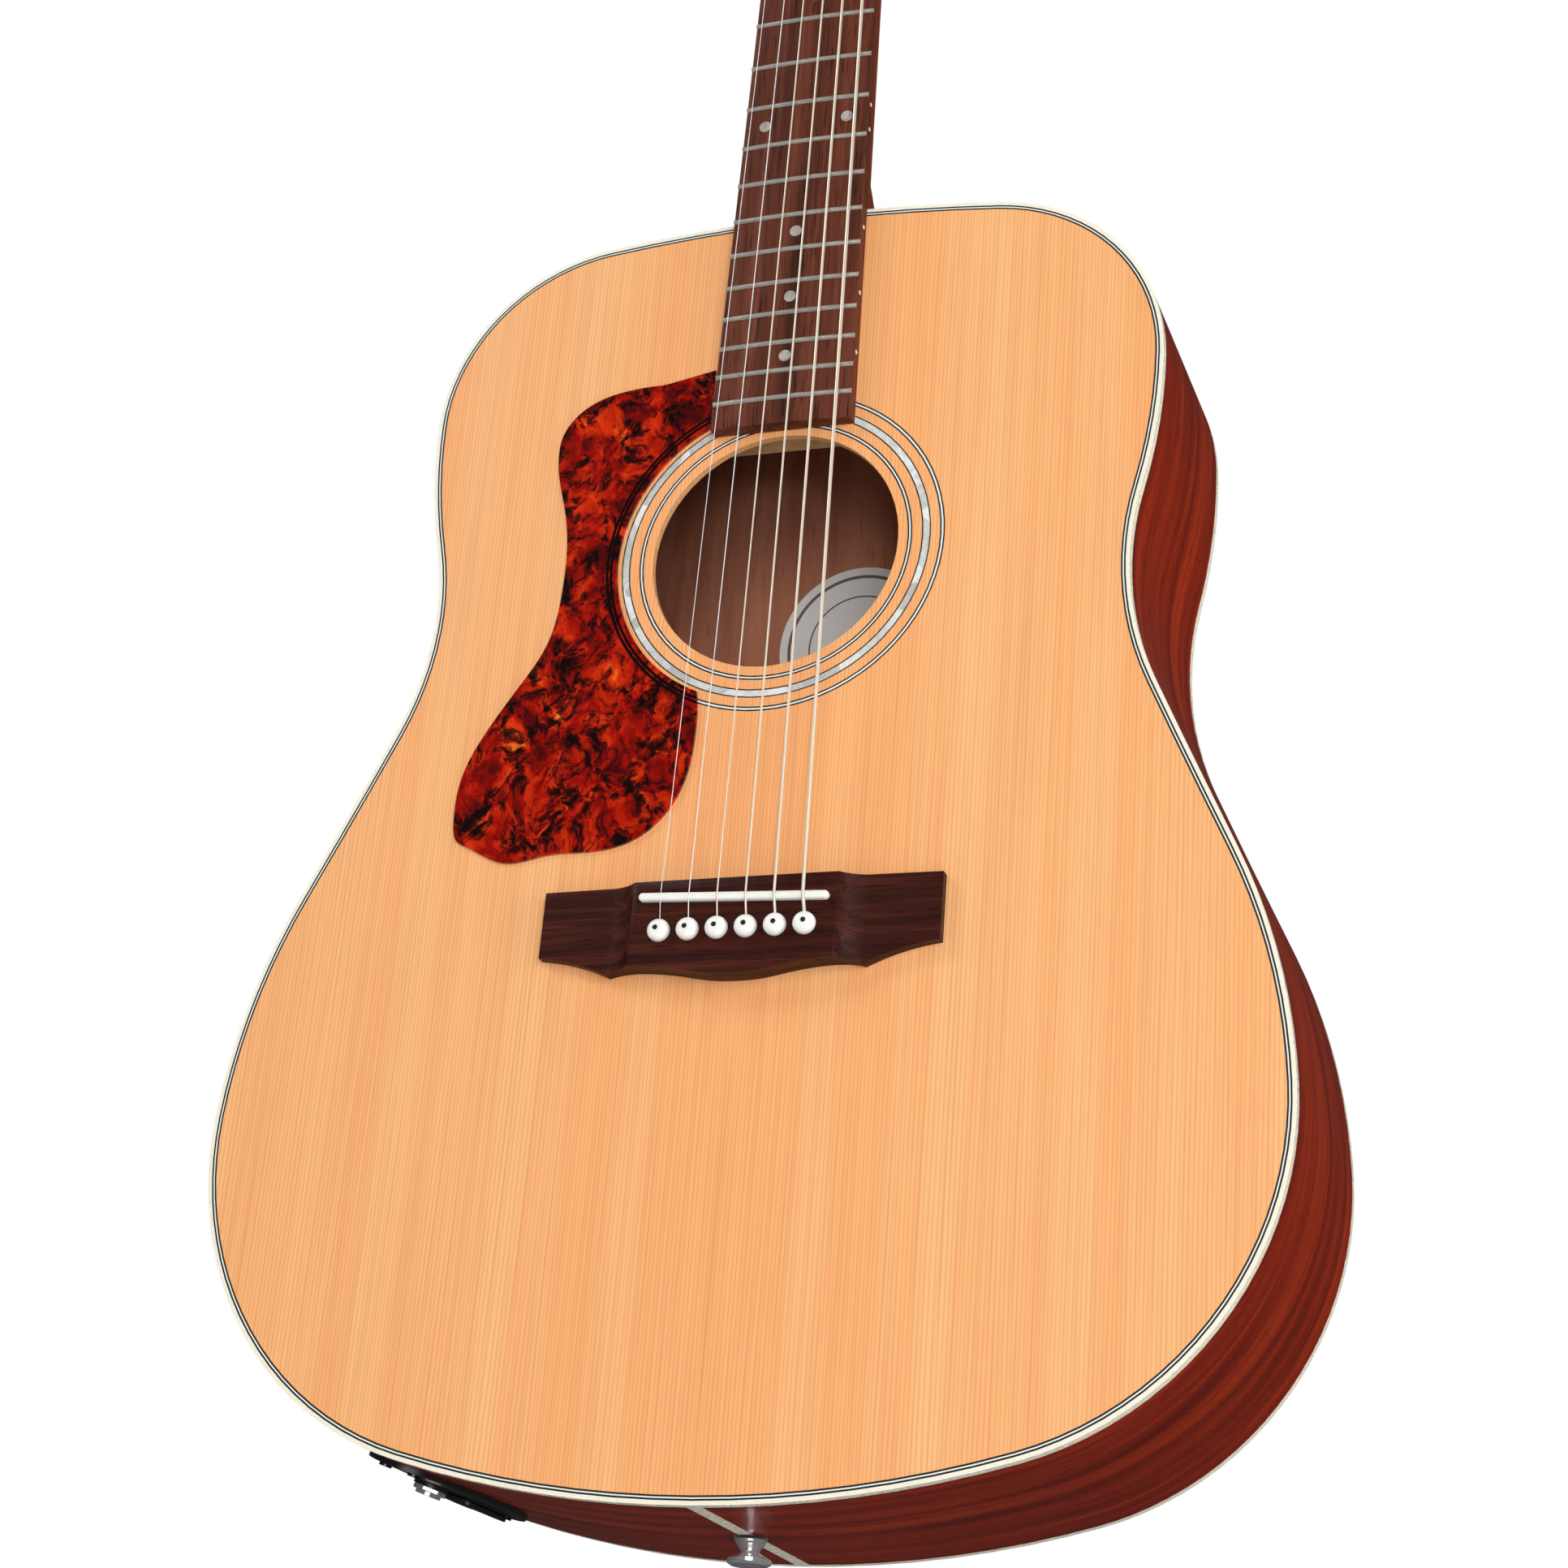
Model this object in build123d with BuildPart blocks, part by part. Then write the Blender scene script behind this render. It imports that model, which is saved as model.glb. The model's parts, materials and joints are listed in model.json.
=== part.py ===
from build123d import *
import os
from math import cos, radians, sin, sqrt

# A left-handed dreadnought acoustic guitar with an undersaddle pickup, in millimetres.
# It hangs upright: +Z runs up the neck, the soundboard faces -Y, and the bass side is +X.
# The origin is on the strap button's axis, where it meets the tail.

os.makedirs("parts", exist_ok=True)

# ---- Driving dimensions -------------------------------------------------------------

scale_length = 647.7
fret_count = 20

# Body. The outline is a chain of tangent arcs, from the neck end to the tail.
# Each entry is a radius and the angle it turns, negative in the waist.
neck_end = 291.8
body_arcs = [
    (700.0, 6.75),
    (76.5, 83.04),
    (229.8, 14.41),
    (121.2, -38.44),
    (4308.0, -0.96),
    (227.8, 22.43),
    (122.8, 77.67),
]
tail_depth = 119.5
heel_depth = 96.0
back_dome_radius = 4572.0
beyond_back = 150.0
soundboard_thickness = 3.0
back_thickness = 2.8
rim_thickness = 2.2
top_binding_height = 4.0
back_binding_height = 4.0
inlay_depth = 1.2
purfling_edges = (1.5, 2.15, 2.65, 3.3)
lining_width = 5.5
lining_height = 14.0
end_strip_width = 5.6

# Soundhole and rosette
hole_centre = 140.8
hole_radius = 49.5
black_rings = [(53.2, 53.8), (54.4, 55.0), (58.8, 59.3), (61.8, 62.3), (65.9, 66.5), (67.2, 67.8)]
white_rings = [(53.8, 54.4), (66.5, 67.2)]
pearl_ring_radii = (59.3, 61.8)
ring_channels = [(53.2, 55.0), (58.8, 62.3), (65.9, 67.8)]
label_radius = 35.0
label_place = 150.0
label_thickness = 0.4

# Pickguard
guard_thickness = 1.2
guard_hole_radius = 63.7

# Bridge, saddle and pins
bridge_half_width = 76.3
bridge_front = 3.2
bridge_thickness = 9.5
wing_thickness = 4.6
wing_start = 39.0
wing_foot = 49.0
saddle_length = 72.6
saddle_width = 3.2
saddle_top = 11.9
saddle_centre = (0.0, -4.6)
saddle_slant = -2.2
saddle_slot_floor = 4.0
pickup_thickness = 1.0
pin_row = -16.05
pin_spacing = 11.05
pin_head_radius = 4.2
pin_shank_radius = 2.5
pin_tip = -13.0

# Strings, from the treble side to the bass side
string_gauges = [0.30, 0.41, 0.61, 0.81, 1.07, 1.35]
saddle_spacing = 10.9
nut_spacing = 7.2
plain_string_count = 2

# Neck and headstock
nut_width = 43.0
body_fret_width = 57.2
board_end = 192.5
board_thickness = 6.7
board_radius = 406.4
fret_width = 2.0
fret_height = 1.1
nut_depth = 5.5
nut_height = 9.0
nut_string_height = 8.1
neck_depth_at_nut = 15.0
neck_depth_at_body = 18.0
head_tilt = 14.0
head_thickness = 15.0
veneer_thickness = 2.0
head_length = 178.0
head_half_width = 36.0
cover_thickness = 1.6

# Tuners, in the headstock's own plane
post_across = 21.0
post_places = (46.0, 86.0, 126.0)
post_radius = 3.0
post_height = 21.0
bushing_radius = 4.9
post_clearance = 0.1
gear_radius = 5.0
gear_teeth = 15
worm_radius = 2.3
worm_clearance = 0.4
shaft_radius = 1.9
key_depth = 6.5
housing_depth = 13.0
wrap_height = 9.0
wrap_turns = 3
wrap_clearance = 0.3

# Jack plate and battery drawer, on the lower treble side
jack_place = 0.96
jack_plate_depth = 59.0
jack_plate_size = (92.0, 50.0)
jack_plate_thickness = 1.8
jack_offset = -13.0
jack_barrel_radius = 4.7
jack_bore_radius = 3.2
drawer_offset = 16.0
battery_size = (26.5, 17.5, 48.5)
drawer_wall = 1.3
drawer_gap = 0.4


# ---- The body outline and its planes ------------------------------------------------

def half_outline(inset):
    """Arcs of the right half of the outline, drawn inside the body's edge by inset."""
    point = Vector(0, neck_end - inset)
    heading = Vector(1, 0)
    arcs = []
    for radius, turn in body_arcs:
        parallel = radius - inset if turn > 0 else radius + inset
        arcs.append(JernArc(point, heading, parallel, -turn))
        point = arcs[-1] @ 1
        heading = arcs[-1] % 1
    # The tail arc is centred on the middle line, so that both halves meet smoothly.
    last_turn = 180 - sum(turn for _, turn in body_arcs)
    arcs.append(JernArc(point, heading, point.X / sin(radians(last_turn)), -last_turn))
    return arcs


def body_shape(inset=0.0):
    """The face inside the body's outline, drawn in by inset."""
    with BuildSketch() as shape:
        with BuildLine():
            add(half_outline(inset))
            mirror(about=Plane.YZ)
        make_face()
    return shape.sketch


outer_shape = body_shape()
rim_inside = body_shape(rim_thickness)
lining_inside = body_shape(rim_thickness + lining_width)
purfling_shapes = [body_shape(edge) for edge in purfling_edges]
tail_end = outer_shape.bounding_box().min.Y

# top lies on the soundboard: x across, y up the neck from the saddle, z out of the top.
top = Plane(origin=(0, -tail_depth / 2, -tail_end), x_dir=(1, 0, 0), z_dir=(0, -1, 0))
under_top = top.offset(-soundboard_thickness)

# The back is one gentle dome. Its sphere passes through the tail end at tail_depth and
# through the neck end at heel_depth.
chord = Vector(neck_end - tail_end, tail_depth - heel_depth)
to_centre = sqrt(back_dome_radius**2 - (chord.length / 2)**2) / chord.length
dome_centre = (
    0,
    (neck_end + tail_end) / 2 - to_centre * chord.Y,
    -(tail_depth + heel_depth) / 2 + to_centre * chord.X,
)


def across(y):
    """A plane square to the neck: x across, y out of the top."""
    return Plane(origin=top.from_local_coords((0, y, 0)), x_dir=(1, 0, 0), z_dir=(0, 0, -1))


def dome(inset, mode):
    """The back's sphere, drawn in by inset, with its poles away from the back."""
    with Locations(dome_centre):
        Sphere(back_dome_radius - inset, rotation=(90, 0, 0), mode=mode)


def save(builder, name):
    """Label a finished piece and write it."""
    builder.part.label = name
    export_step(builder.part, f"parts/{name}.step")


# ---- Shell --------------------------------------------------------------------------

pin_places = [(pin_spacing * (i - 2.5), pin_row) for i in range(6)]
pin_hole_radius = pin_shank_radius + 0.3
string_slot_radius = 0.9
string_slot_row = pin_row + pin_shank_radius + 0.4


def pin_holes():
    """Holes for the bridge pins, each with a slot for its string in front."""
    with Locations(*pin_places):
        Cylinder(pin_hole_radius, 60, mode=Mode.SUBTRACT)
    with Locations(*[(x, string_slot_row) for x, _ in pin_places]):
        Cylinder(string_slot_radius, 60, mode=Mode.SUBTRACT)


def rings(pairs):
    """Flat rings round the soundhole, made from the widest inwards."""
    with BuildSketch() as face:
        with Locations((0, hole_centre)):
            for ring_start, ring_end in sorted(pairs, reverse=True):
                Circle(ring_end)
                Circle(ring_start, mode=Mode.SUBTRACT)
    return face.sketch


ring_channel_shape = rings(ring_channels)
black_ring_shape = rings(black_rings)
white_ring_shape = rings(white_rings)
pearl_ring_shape = rings([pearl_ring_radii])

with BuildPart(top) as soundboard:
    with BuildSketch(top):
        add(rim_inside)
        with Locations((0, hole_centre)):
            Circle(hole_radius, mode=Mode.SUBTRACT)
    extrude(amount=-soundboard_thickness)
    with BuildSketch(top):
        add(purfling_shapes[0])
        add(purfling_shapes[-1], mode=Mode.SUBTRACT)
        add(ring_channel_shape)
    extrude(amount=-inlay_depth, mode=Mode.SUBTRACT)
    pin_holes()
save(soundboard, "soundboard")

with BuildPart(top) as back_plate:
    with BuildSketch(top):
        add(rim_inside)
    extrude(amount=-beyond_back)
    dome(0, Mode.INTERSECT)
    dome(back_thickness, Mode.SUBTRACT)
save(back_plate, "back_plate")

# The neck's tenon passes through the rim into the neck block.
tenon_width = 22.0
tenon_length = 18.0
tenon_top = -top_binding_height
tenon_bottom = -76.0
bolt_levels = (-24.0, -56.0)
bolt_radius = 3.0
block_width = 84.0
neck_block_length = 50.0
tail_block_width = 80.0
tail_block_length = 25.0

# The jack plate's plane: x towards the back, z out of the side.
lower_bout = half_outline(0.0)[-2]
seat = lower_bout @ jack_place
seat_heading = lower_bout % jack_place
jack_plane = Plane(
    origin=top.from_local_coords((-seat.X, seat.Y, -jack_plate_depth)),
    x_dir=(0, 1, 0),
    z_dir=(seat_heading.Y, 0, seat_heading.X),
)
well_size = (66.0, 30.0)
well_centre = (3.0, 0.0)
jack_screws = [(x, y) for x in (-39.5, 39.5) for y in (-6.0, 6.0)]
screw_shank_radius = 1.2

with BuildPart(top) as sides:
    with BuildSketch(top.offset(-top_binding_height)):
        add(outer_shape)
        add(rim_inside, mode=Mode.SUBTRACT)
    extrude(amount=-beyond_back)
    dome(back_binding_height, Mode.INTERSECT)
    with Locations((0, neck_end, 0)):
        Box(tenon_width, 10, -2 * tenon_bottom, mode=Mode.SUBTRACT)
    with Locations((0, tail_end, 0)):
        Box(end_strip_width, 10, 2 * beyond_back, mode=Mode.SUBTRACT)
    with BuildSketch(jack_plane):
        with Locations(well_centre):
            RectangleRounded(*well_size, 6)
        with Locations(*jack_screws):
            Circle(screw_shank_radius)
    extrude(amount=-10, both=True, mode=Mode.SUBTRACT)
    with Locations((0, tail_end, -tail_depth / 2)):
        Cylinder(2.2, 60, rotation=(90, 0, 0), mode=Mode.SUBTRACT)

with BuildPart() as side_bass:
    add(sides.part)
    split(bisect_by=Plane.YZ, keep=Keep.TOP)
save(side_bass, "side_bass")

with BuildPart() as side_treble:
    add(sides.part)
    split(bisect_by=Plane.YZ, keep=Keep.BOTTOM)
save(side_treble, "side_treble")

with BuildPart(top) as end_strip:
    with BuildSketch(top.offset(-top_binding_height)):
        add(outer_shape)
        add(rim_inside, mode=Mode.SUBTRACT)
        with Locations((0, tail_end)):
            Rectangle(end_strip_width, 10, mode=Mode.INTERSECT)
    extrude(amount=-beyond_back)
    dome(back_binding_height, Mode.INTERSECT)
    with Locations((0, tail_end, -tail_depth / 2)):
        Cylinder(2.2, 60, rotation=(90, 0, 0), mode=Mode.SUBTRACT)
save(end_strip, "end_strip")

with BuildPart(top) as top_binding:
    with BuildSketch(top):
        add(outer_shape)
        add(rim_inside, mode=Mode.SUBTRACT)
    extrude(amount=-top_binding_height)
    with BuildSketch(top):
        add(purfling_shapes[0])
    extrude(amount=-inlay_depth, mode=Mode.SUBTRACT)
save(top_binding, "top_binding")

with BuildPart(top) as back_binding:
    with BuildSketch(top):
        add(outer_shape)
        add(rim_inside, mode=Mode.SUBTRACT)
    extrude(amount=-beyond_back)
    dome(0, Mode.INTERSECT)
    dome(back_binding_height, Mode.SUBTRACT)
save(back_binding, "back_binding")


with BuildPart(top) as black_lines:
    with BuildSketch(top):
        add(purfling_shapes[0])
        add(purfling_shapes[1], mode=Mode.SUBTRACT)
        add(purfling_shapes[2])
        add(purfling_shapes[3], mode=Mode.SUBTRACT)
        add(black_ring_shape)
    extrude(amount=-inlay_depth)
save(black_lines, "black_lines")

with BuildPart(top) as white_lines:
    with BuildSketch(top):
        add(purfling_shapes[1])
        add(purfling_shapes[2], mode=Mode.SUBTRACT)
        add(white_ring_shape)
    extrude(amount=-inlay_depth)
save(white_lines, "white_lines")

with BuildPart(top) as pearl_ring:
    with BuildSketch(top):
        add(pearl_ring_shape)
    extrude(amount=-inlay_depth)
save(pearl_ring, "pearl_ring")


# ---- Inside the body ----------------------------------------------------------------

def lining_ring():
    """The band that the linings fill, without the blocks at both ends."""
    with BuildSketch() as ring:
        add(rim_inside)
        add(lining_inside, mode=Mode.SUBTRACT)
        with Locations((0, neck_end)):
            Rectangle(block_width, 60, mode=Mode.SUBTRACT)
        with Locations((0, tail_end)):
            Rectangle(tail_block_width, 60, mode=Mode.SUBTRACT)
    return ring.sketch


lining_shape = lining_ring()

with BuildPart(top) as top_linings:
    with BuildSketch(under_top):
        add(lining_shape)
    extrude(amount=-lining_height)
save(top_linings, "top_linings")

with BuildPart(top) as back_linings:
    with BuildSketch(top):
        add(lining_shape)
    extrude(amount=-beyond_back)
    dome(back_thickness, Mode.INTERSECT)
    dome(back_thickness + lining_height, Mode.SUBTRACT)
save(back_linings, "back_linings")

with BuildPart(top) as neck_block:
    with BuildSketch(under_top):
        add(rim_inside)
        with Locations((0, neck_end)):
            Rectangle(block_width, 2 * neck_block_length, mode=Mode.INTERSECT)
    extrude(amount=-beyond_back)
    dome(back_thickness, Mode.INTERSECT)
    with Locations((0, neck_end - tenon_length / 2, (tenon_top + tenon_bottom) / 2)):
        Box(tenon_width, tenon_length, tenon_top - tenon_bottom, mode=Mode.SUBTRACT)
    with Locations(*[(0, neck_end - neck_block_length / 2, z) for z in bolt_levels]):
        Cylinder(bolt_radius, 2 * neck_block_length, rotation=(90, 0, 0), mode=Mode.SUBTRACT)
save(neck_block, "neck_block")

strap_screw_radius = 2.2
strap_screw_length = 32.0

with BuildPart(top) as tail_block:
    with BuildSketch(under_top):
        add(rim_inside)
        with Locations((0, tail_end)):
            Rectangle(tail_block_width, 2 * tail_block_length, mode=Mode.INTERSECT)
    extrude(amount=-beyond_back)
    dome(back_thickness, Mode.INTERSECT)
    with Locations((0, tail_end, -tail_depth / 2)):
        Cylinder(strap_screw_radius, 2 * strap_screw_length, rotation=(90, 0, 0), mode=Mode.SUBTRACT)
save(tail_block, "tail_block")

# The X-brace crosses between the soundhole and the bridge, in a half-lap joint.
cross_place = 62.0
cross_angle = 49.5
brace_width = 8.0
x_brace_height = 14.0
x_brace_reach = (155.0, 235.0)


def x_brace_shape(angle):
    """The footprint of one bar of the X, leaning by angle from the middle line."""
    with BuildSketch() as footprint:
        with Locations(Location((0, cross_place, 0), (0, 0, angle))):
            with Locations((0, (x_brace_reach[0] - x_brace_reach[1]) / 2)):
                RectangleRounded(brace_width, sum(x_brace_reach), 3.9)
    return footprint.sketch


bass_bar_shape = x_brace_shape(cross_angle)
treble_bar_shape = x_brace_shape(-cross_angle)
lap_level = under_top.offset(-x_brace_height / 2)

with BuildPart(top) as x_brace_bass:
    with BuildSketch(under_top):
        add(bass_bar_shape)
    extrude(amount=-x_brace_height)
    with BuildSketch(lap_level):
        add(treble_bar_shape)
    extrude(amount=-x_brace_height, mode=Mode.SUBTRACT)
save(x_brace_bass, "x_brace_bass")

with BuildPart(top) as x_brace_treble:
    with BuildSketch(under_top):
        add(treble_bar_shape)
    extrude(amount=-x_brace_height)
    with BuildSketch(lap_level):
        add(bass_bar_shape)
    extrude(amount=x_brace_height, mode=Mode.SUBTRACT)
save(x_brace_treble, "x_brace_treble")

transverse_brace_width = 12.0
transverse_brace_height = 16.0
transverse_brace_edge = 194.5
transverse_brace_reach = 138.0

with BuildPart(top) as transverse_brace:
    with Locations((0, transverse_brace_edge + transverse_brace_width / 2, -soundboard_thickness)):
        Box(
            2 * transverse_brace_reach,
            transverse_brace_width,
            transverse_brace_height,
            align=(Align.CENTER, Align.CENTER, Align.MAX),
        )
    lower_ends = transverse_brace.edges().filter_by(Axis.Z).group_by(Axis.Y)[-1]
    chamfer(lower_ends, 11.0, 3.0)
save(transverse_brace, "transverse_brace")

tone_bar_height = 11.0
tone_bars_at = [(10, -82, 190), (15, -142, 160)]
tone_bar_slant = -20.0

with BuildPart(top) as tone_bars:
    with BuildSketch(under_top):
        for x, y, length in tone_bars_at:
            with Locations(Location((x, y, 0), (0, 0, tone_bar_slant))):
                RectangleRounded(length, brace_width, 3.9)
    extrude(amount=-tone_bar_height)
save(tone_bars, "tone_bars")

bridge_plate_thickness = 3.0

with BuildPart(top) as bridge_plate:
    with BuildSketch(under_top):
        with BuildLine():
            Polyline((-52, 8), (52, 8), (100, -38), (-100, -38), close=True)
        make_face()
    extrude(amount=-bridge_plate_thickness)
    pin_holes()
save(bridge_plate, "bridge_plate")

with BuildPart(top) as label:
    with BuildSketch(top):
        with Locations((0, label_place)):
            Circle(label_radius)
    extrude(amount=-beyond_back)
    dome(back_thickness, Mode.INTERSECT)
    dome(back_thickness + label_thickness, Mode.SUBTRACT)
save(label, "label")


# ---- Pickguard ----------------------------------------------------------------------

guard_edge = -30.8
guard_top = (guard_edge, 222.8)
guard_hole_top = (guard_edge, hole_centre + sqrt(guard_hole_radius**2 - guard_edge**2))
guard_foot_side = -25.8
guard_hole_foot = (guard_foot_side, hole_centre - sqrt(guard_hole_radius**2 - guard_foot_side**2))
guard_waist = (-85.6, 140.0)
guard_tip = (-119.6, 42.0)
guard_shoulder = (-94.4, 193.0)

with BuildPart(top) as pickguard:
    with BuildSketch(top):
        with BuildLine():
            Line(guard_top, guard_hole_top)
            ThreePointArc(guard_hole_top, (-guard_hole_radius, hole_centre), guard_hole_foot)
            Spline(
                guard_hole_foot,
                (-24.7, 66),
                (-29.9, 39.5),
                (-43.3, 24.9),
                (-60, 20.2),
                (-80, 19.6),
                (-97, 17.6),
                (-112.8, 25),
                guard_tip,
                tangents=[(0.2, -1), (0, 1)],
            )
            Spline(guard_tip, (-113, 67.5), (-96, 95), guard_waist, tangents=[(0, 1), (0, 1)])
            Spline(guard_waist, (-89.4, 168), guard_shoulder, tangents=[(0, 1), (0, 1)])
            Spline(
                guard_shoulder,
                (-89.6, 206.8),
                (-75, 216),
                (-55, 218.5),
                guard_top,
                tangents=[(0, 1), (1, 0.2)],
            )
        make_face()
    extrude(amount=guard_thickness)
save(pickguard, "pickguard")


# ---- Bridge -------------------------------------------------------------------------

wing_corner = (bridge_half_width, -22.3)
bridge_cusp = (48.6, -30.2)
bridge_belly = (0, -33.0)

with BuildPart(top) as bridge:
    with BuildSketch(top):
        with BuildLine():
            Line((0, bridge_front), (bridge_half_width, bridge_front))
            Line((bridge_half_width, bridge_front), wing_corner)
            ThreePointArc(wing_corner, (63, -24.8), bridge_cusp)
            Spline(bridge_cusp, (35, -28.8), (19, -30.8), bridge_belly, tangents=[(-1, 0.35), (-1, 0)])
            mirror(about=Plane.YZ)
        make_face()
    extrude(amount=bridge_thickness)
    for side in (-1, 1):
        with BuildSketch(across(0)):
            with BuildLine():
                foot = Line((side * wing_foot, wing_thickness), (side * 90, wing_thickness - 0.8))
                Line(foot @ 1, (side * 90, 20))
                Line((side * 90, 20), (side * wing_start, 20))
                Line((side * wing_start, 20), (side * wing_start, bridge_thickness))
                ThreePointArc(
                    (side * wing_start, bridge_thickness),
                    (side * (wing_start + wing_foot) / 2, (bridge_thickness + wing_thickness) / 2 - 1.1),
                    foot @ 0,
                )
            make_face()
        extrude(amount=60, both=True, mode=Mode.SUBTRACT)
    saddle_plane = top.offset(saddle_slot_floor)
    with BuildSketch(saddle_plane):
        with Locations(Location((*saddle_centre, 0), (0, 0, saddle_slant))):
            SlotOverall(saddle_length, saddle_width)
    extrude(amount=20, mode=Mode.SUBTRACT)
    pin_holes()
save(bridge, "bridge")

with BuildPart(top) as undersaddle_pickup:
    with BuildSketch(saddle_plane):
        with Locations(Location((*saddle_centre, 0), (0, 0, saddle_slant))):
            SlotOverall(saddle_length - 1, saddle_width - 0.4)
    extrude(amount=pickup_thickness)
save(undersaddle_pickup, "undersaddle_pickup")

saddle_crown = 1.2
notch_size = (8.8, 1.5, 0.6)
second_string = -1.5 * saddle_spacing

with BuildPart(top) as saddle:
    with BuildSketch(saddle_plane.offset(pickup_thickness)):
        with Locations(Location((*saddle_centre, 0), (0, 0, saddle_slant))):
            SlotOverall(saddle_length, saddle_width)
    extrude(amount=saddle_top - saddle_slot_floor - pickup_thickness)
    crown_edges = saddle.faces().sort_by(Axis.Y)[0].edges()
    fillet(crown_edges, saddle_crown)
    with Locations((second_string, saddle_centre[1] + saddle_width / 2 + 0.6, saddle_top)):
        Box(*notch_size, mode=Mode.SUBTRACT)
save(saddle, "saddle")

pin_head_height = 3.2

with BuildPart(top) as bridge_pins:
    with BuildSketch(top.offset(bridge_thickness)):
        with Locations(*pin_places):
            Circle(pin_head_radius)
    extrude(amount=pin_head_height)
    fillet(bridge_pins.faces().sort_by(Axis.Y)[:6].edges(), 2.4)
    with Locations(*[(x, y, bridge_thickness) for x, y in pin_places]):
        Cone(
            pin_shank_radius - 0.6,
            pin_shank_radius,
            bridge_thickness - pin_tip,
            align=(Align.CENTER, Align.CENTER, Align.MAX),
        )
    with Locations(*[(x, string_slot_row, pin_tip) for x, _ in pin_places]):
        Cylinder(
            string_slot_radius,
            bridge_thickness - pin_tip,
            align=(Align.CENTER, Align.CENTER, Align.MIN),
            mode=Mode.SUBTRACT,
        )
    with Locations(*[(x, string_slot_row + 1, bridge_thickness) for x, _ in pin_places]):
        Box(2 * string_slot_radius, 4, 3.6, mode=Mode.SUBTRACT)
save(bridge_pins, "bridge_pins")


# ---- Neck ---------------------------------------------------------------------------

nut_front = scale_length
nut_back = nut_front + nut_depth
tilt = radians(head_tilt)

# head lies on the headstock's wood: x across, y along it from the nut, z out of its face.
head = Plane(
    origin=top.from_local_coords((0, nut_back, 0)),
    x_dir=(1, 0, 0),
    z_dir=(0, -cos(tilt), sin(tilt)),
)


def board_half_width(y):
    """Half of the fingerboard's width at y."""
    body_fret = scale_length * 2 ** (-fret_count / 12)
    part = (y - body_fret) / (nut_front - body_fret)
    return (body_fret_width + (nut_width - body_fret_width) * part) / 2


def neck_section(y, depth):
    """Half an ellipse below the fingerboard, as wide as the board at y."""
    half_width = board_half_width(y)
    with BuildSketch() as section:
        with BuildLine():
            EllipticalCenterArc((0, 0), half_width, depth, start_angle=180, arc_size=180)
            Line((half_width, 0), (-half_width, 0))
        make_face()
    return section.sketch


def heel_section(half_width, length):
    """A rounded section of the heel, parallel to the top."""
    start = neck_end - 2
    with BuildSketch() as section:
        with BuildLine():
            EllipticalCenterArc((0, start), half_width, length, start_angle=0, arc_size=180)
            Line((-half_width, start), (half_width, start))
        make_face()
    return section.sketch


shaft_sections = [
    (neck_end - 2, neck_section(neck_end - 2, neck_depth_at_body)),
    (nut_back, neck_section(nut_back, neck_depth_at_nut)),
]
heel_sections = [
    (-2.0, heel_section(26.5, 66.0)),
    (-18.0, heel_section(25.0, 42.0)),
    (-48.0, heel_section(19.0, 24.0)),
    (2.0 - heel_depth, heel_section(13.0, 17.0)),
]
head_corner = (nut_width / 2, 0.0)
head_neck = (nut_width / 2, 3.0)
head_shoulder = (30.0, 24.0)
head_top_corner = (head_half_width, head_length - 10)
post_spots = [(side * post_across, y) for side in (-1, 1) for y in post_places]
ear_offset = 11.5
rod_pocket = (11.0, 24.0)
rod_width = 6.0
rod_depth = 9.0
rod_start = 300.0
cover_screw_row = 44.0


def head_outline():
    """The headstock's face."""
    with BuildSketch() as face:
        with BuildLine():
            Line((0, head_corner[1]), head_corner)
            Line(head_corner, head_neck)
            Spline(head_neck, head_shoulder, tangents=[(0, 1), (0.25, 1)])
            Line(head_shoulder, head_top_corner)
            TangentArc(head_top_corner, (head_half_width - 8, head_length - 1), tangent=(0.03, 1))
            Line((head_half_width - 8, head_length - 1), (0, head_length))
            mirror(about=Plane.YZ)
        make_face()
    return face.sketch


head_shape = head_outline()

with BuildPart(top) as neck:
    for place, section in shaft_sections:
        with BuildSketch(across(place)):
            add(section)
    loft()
    for level, section in heel_sections:
        with BuildSketch(top.offset(level)):
            add(section)
    loft()
    with BuildSketch(head):
        add(head_shape)
    extrude(amount=-head_thickness)
    with BuildSketch(top.offset(5)):
        add(outer_shape)
    extrude(amount=-2 * beyond_back, mode=Mode.SUBTRACT)
    with Locations((0, neck_end - tenon_length / 2 + 1, (tenon_top + tenon_bottom) / 2)):
        Box(tenon_width, tenon_length + 2, tenon_top - tenon_bottom)
    with Locations(*[(0, neck_end, z) for z in bolt_levels]):
        Cylinder(bolt_radius, 50, rotation=(90, 0, 0), mode=Mode.SUBTRACT)
    with BuildSketch(top):
        with Locations((0, (rod_start + nut_back + 4) / 2)):
            Rectangle(rod_width, nut_back + 4 - rod_start)
    extrude(amount=-rod_depth, mode=Mode.SUBTRACT)
    with BuildSketch(head):
        with Locations((0, rod_pocket[1] / 2)):
            RectangleRounded(rod_pocket[0], rod_pocket[1] + 4, 4)
    extrude(amount=-8, mode=Mode.SUBTRACT)
    with BuildSketch(head):
        with Locations(*post_spots):
            Circle(bushing_radius)
        with Locations(*[(x, y + ear_offset) for x, y in post_spots]):
            Circle(screw_shank_radius)
    extrude(amount=-head_thickness, mode=Mode.SUBTRACT)
save(neck, "neck")

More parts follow.
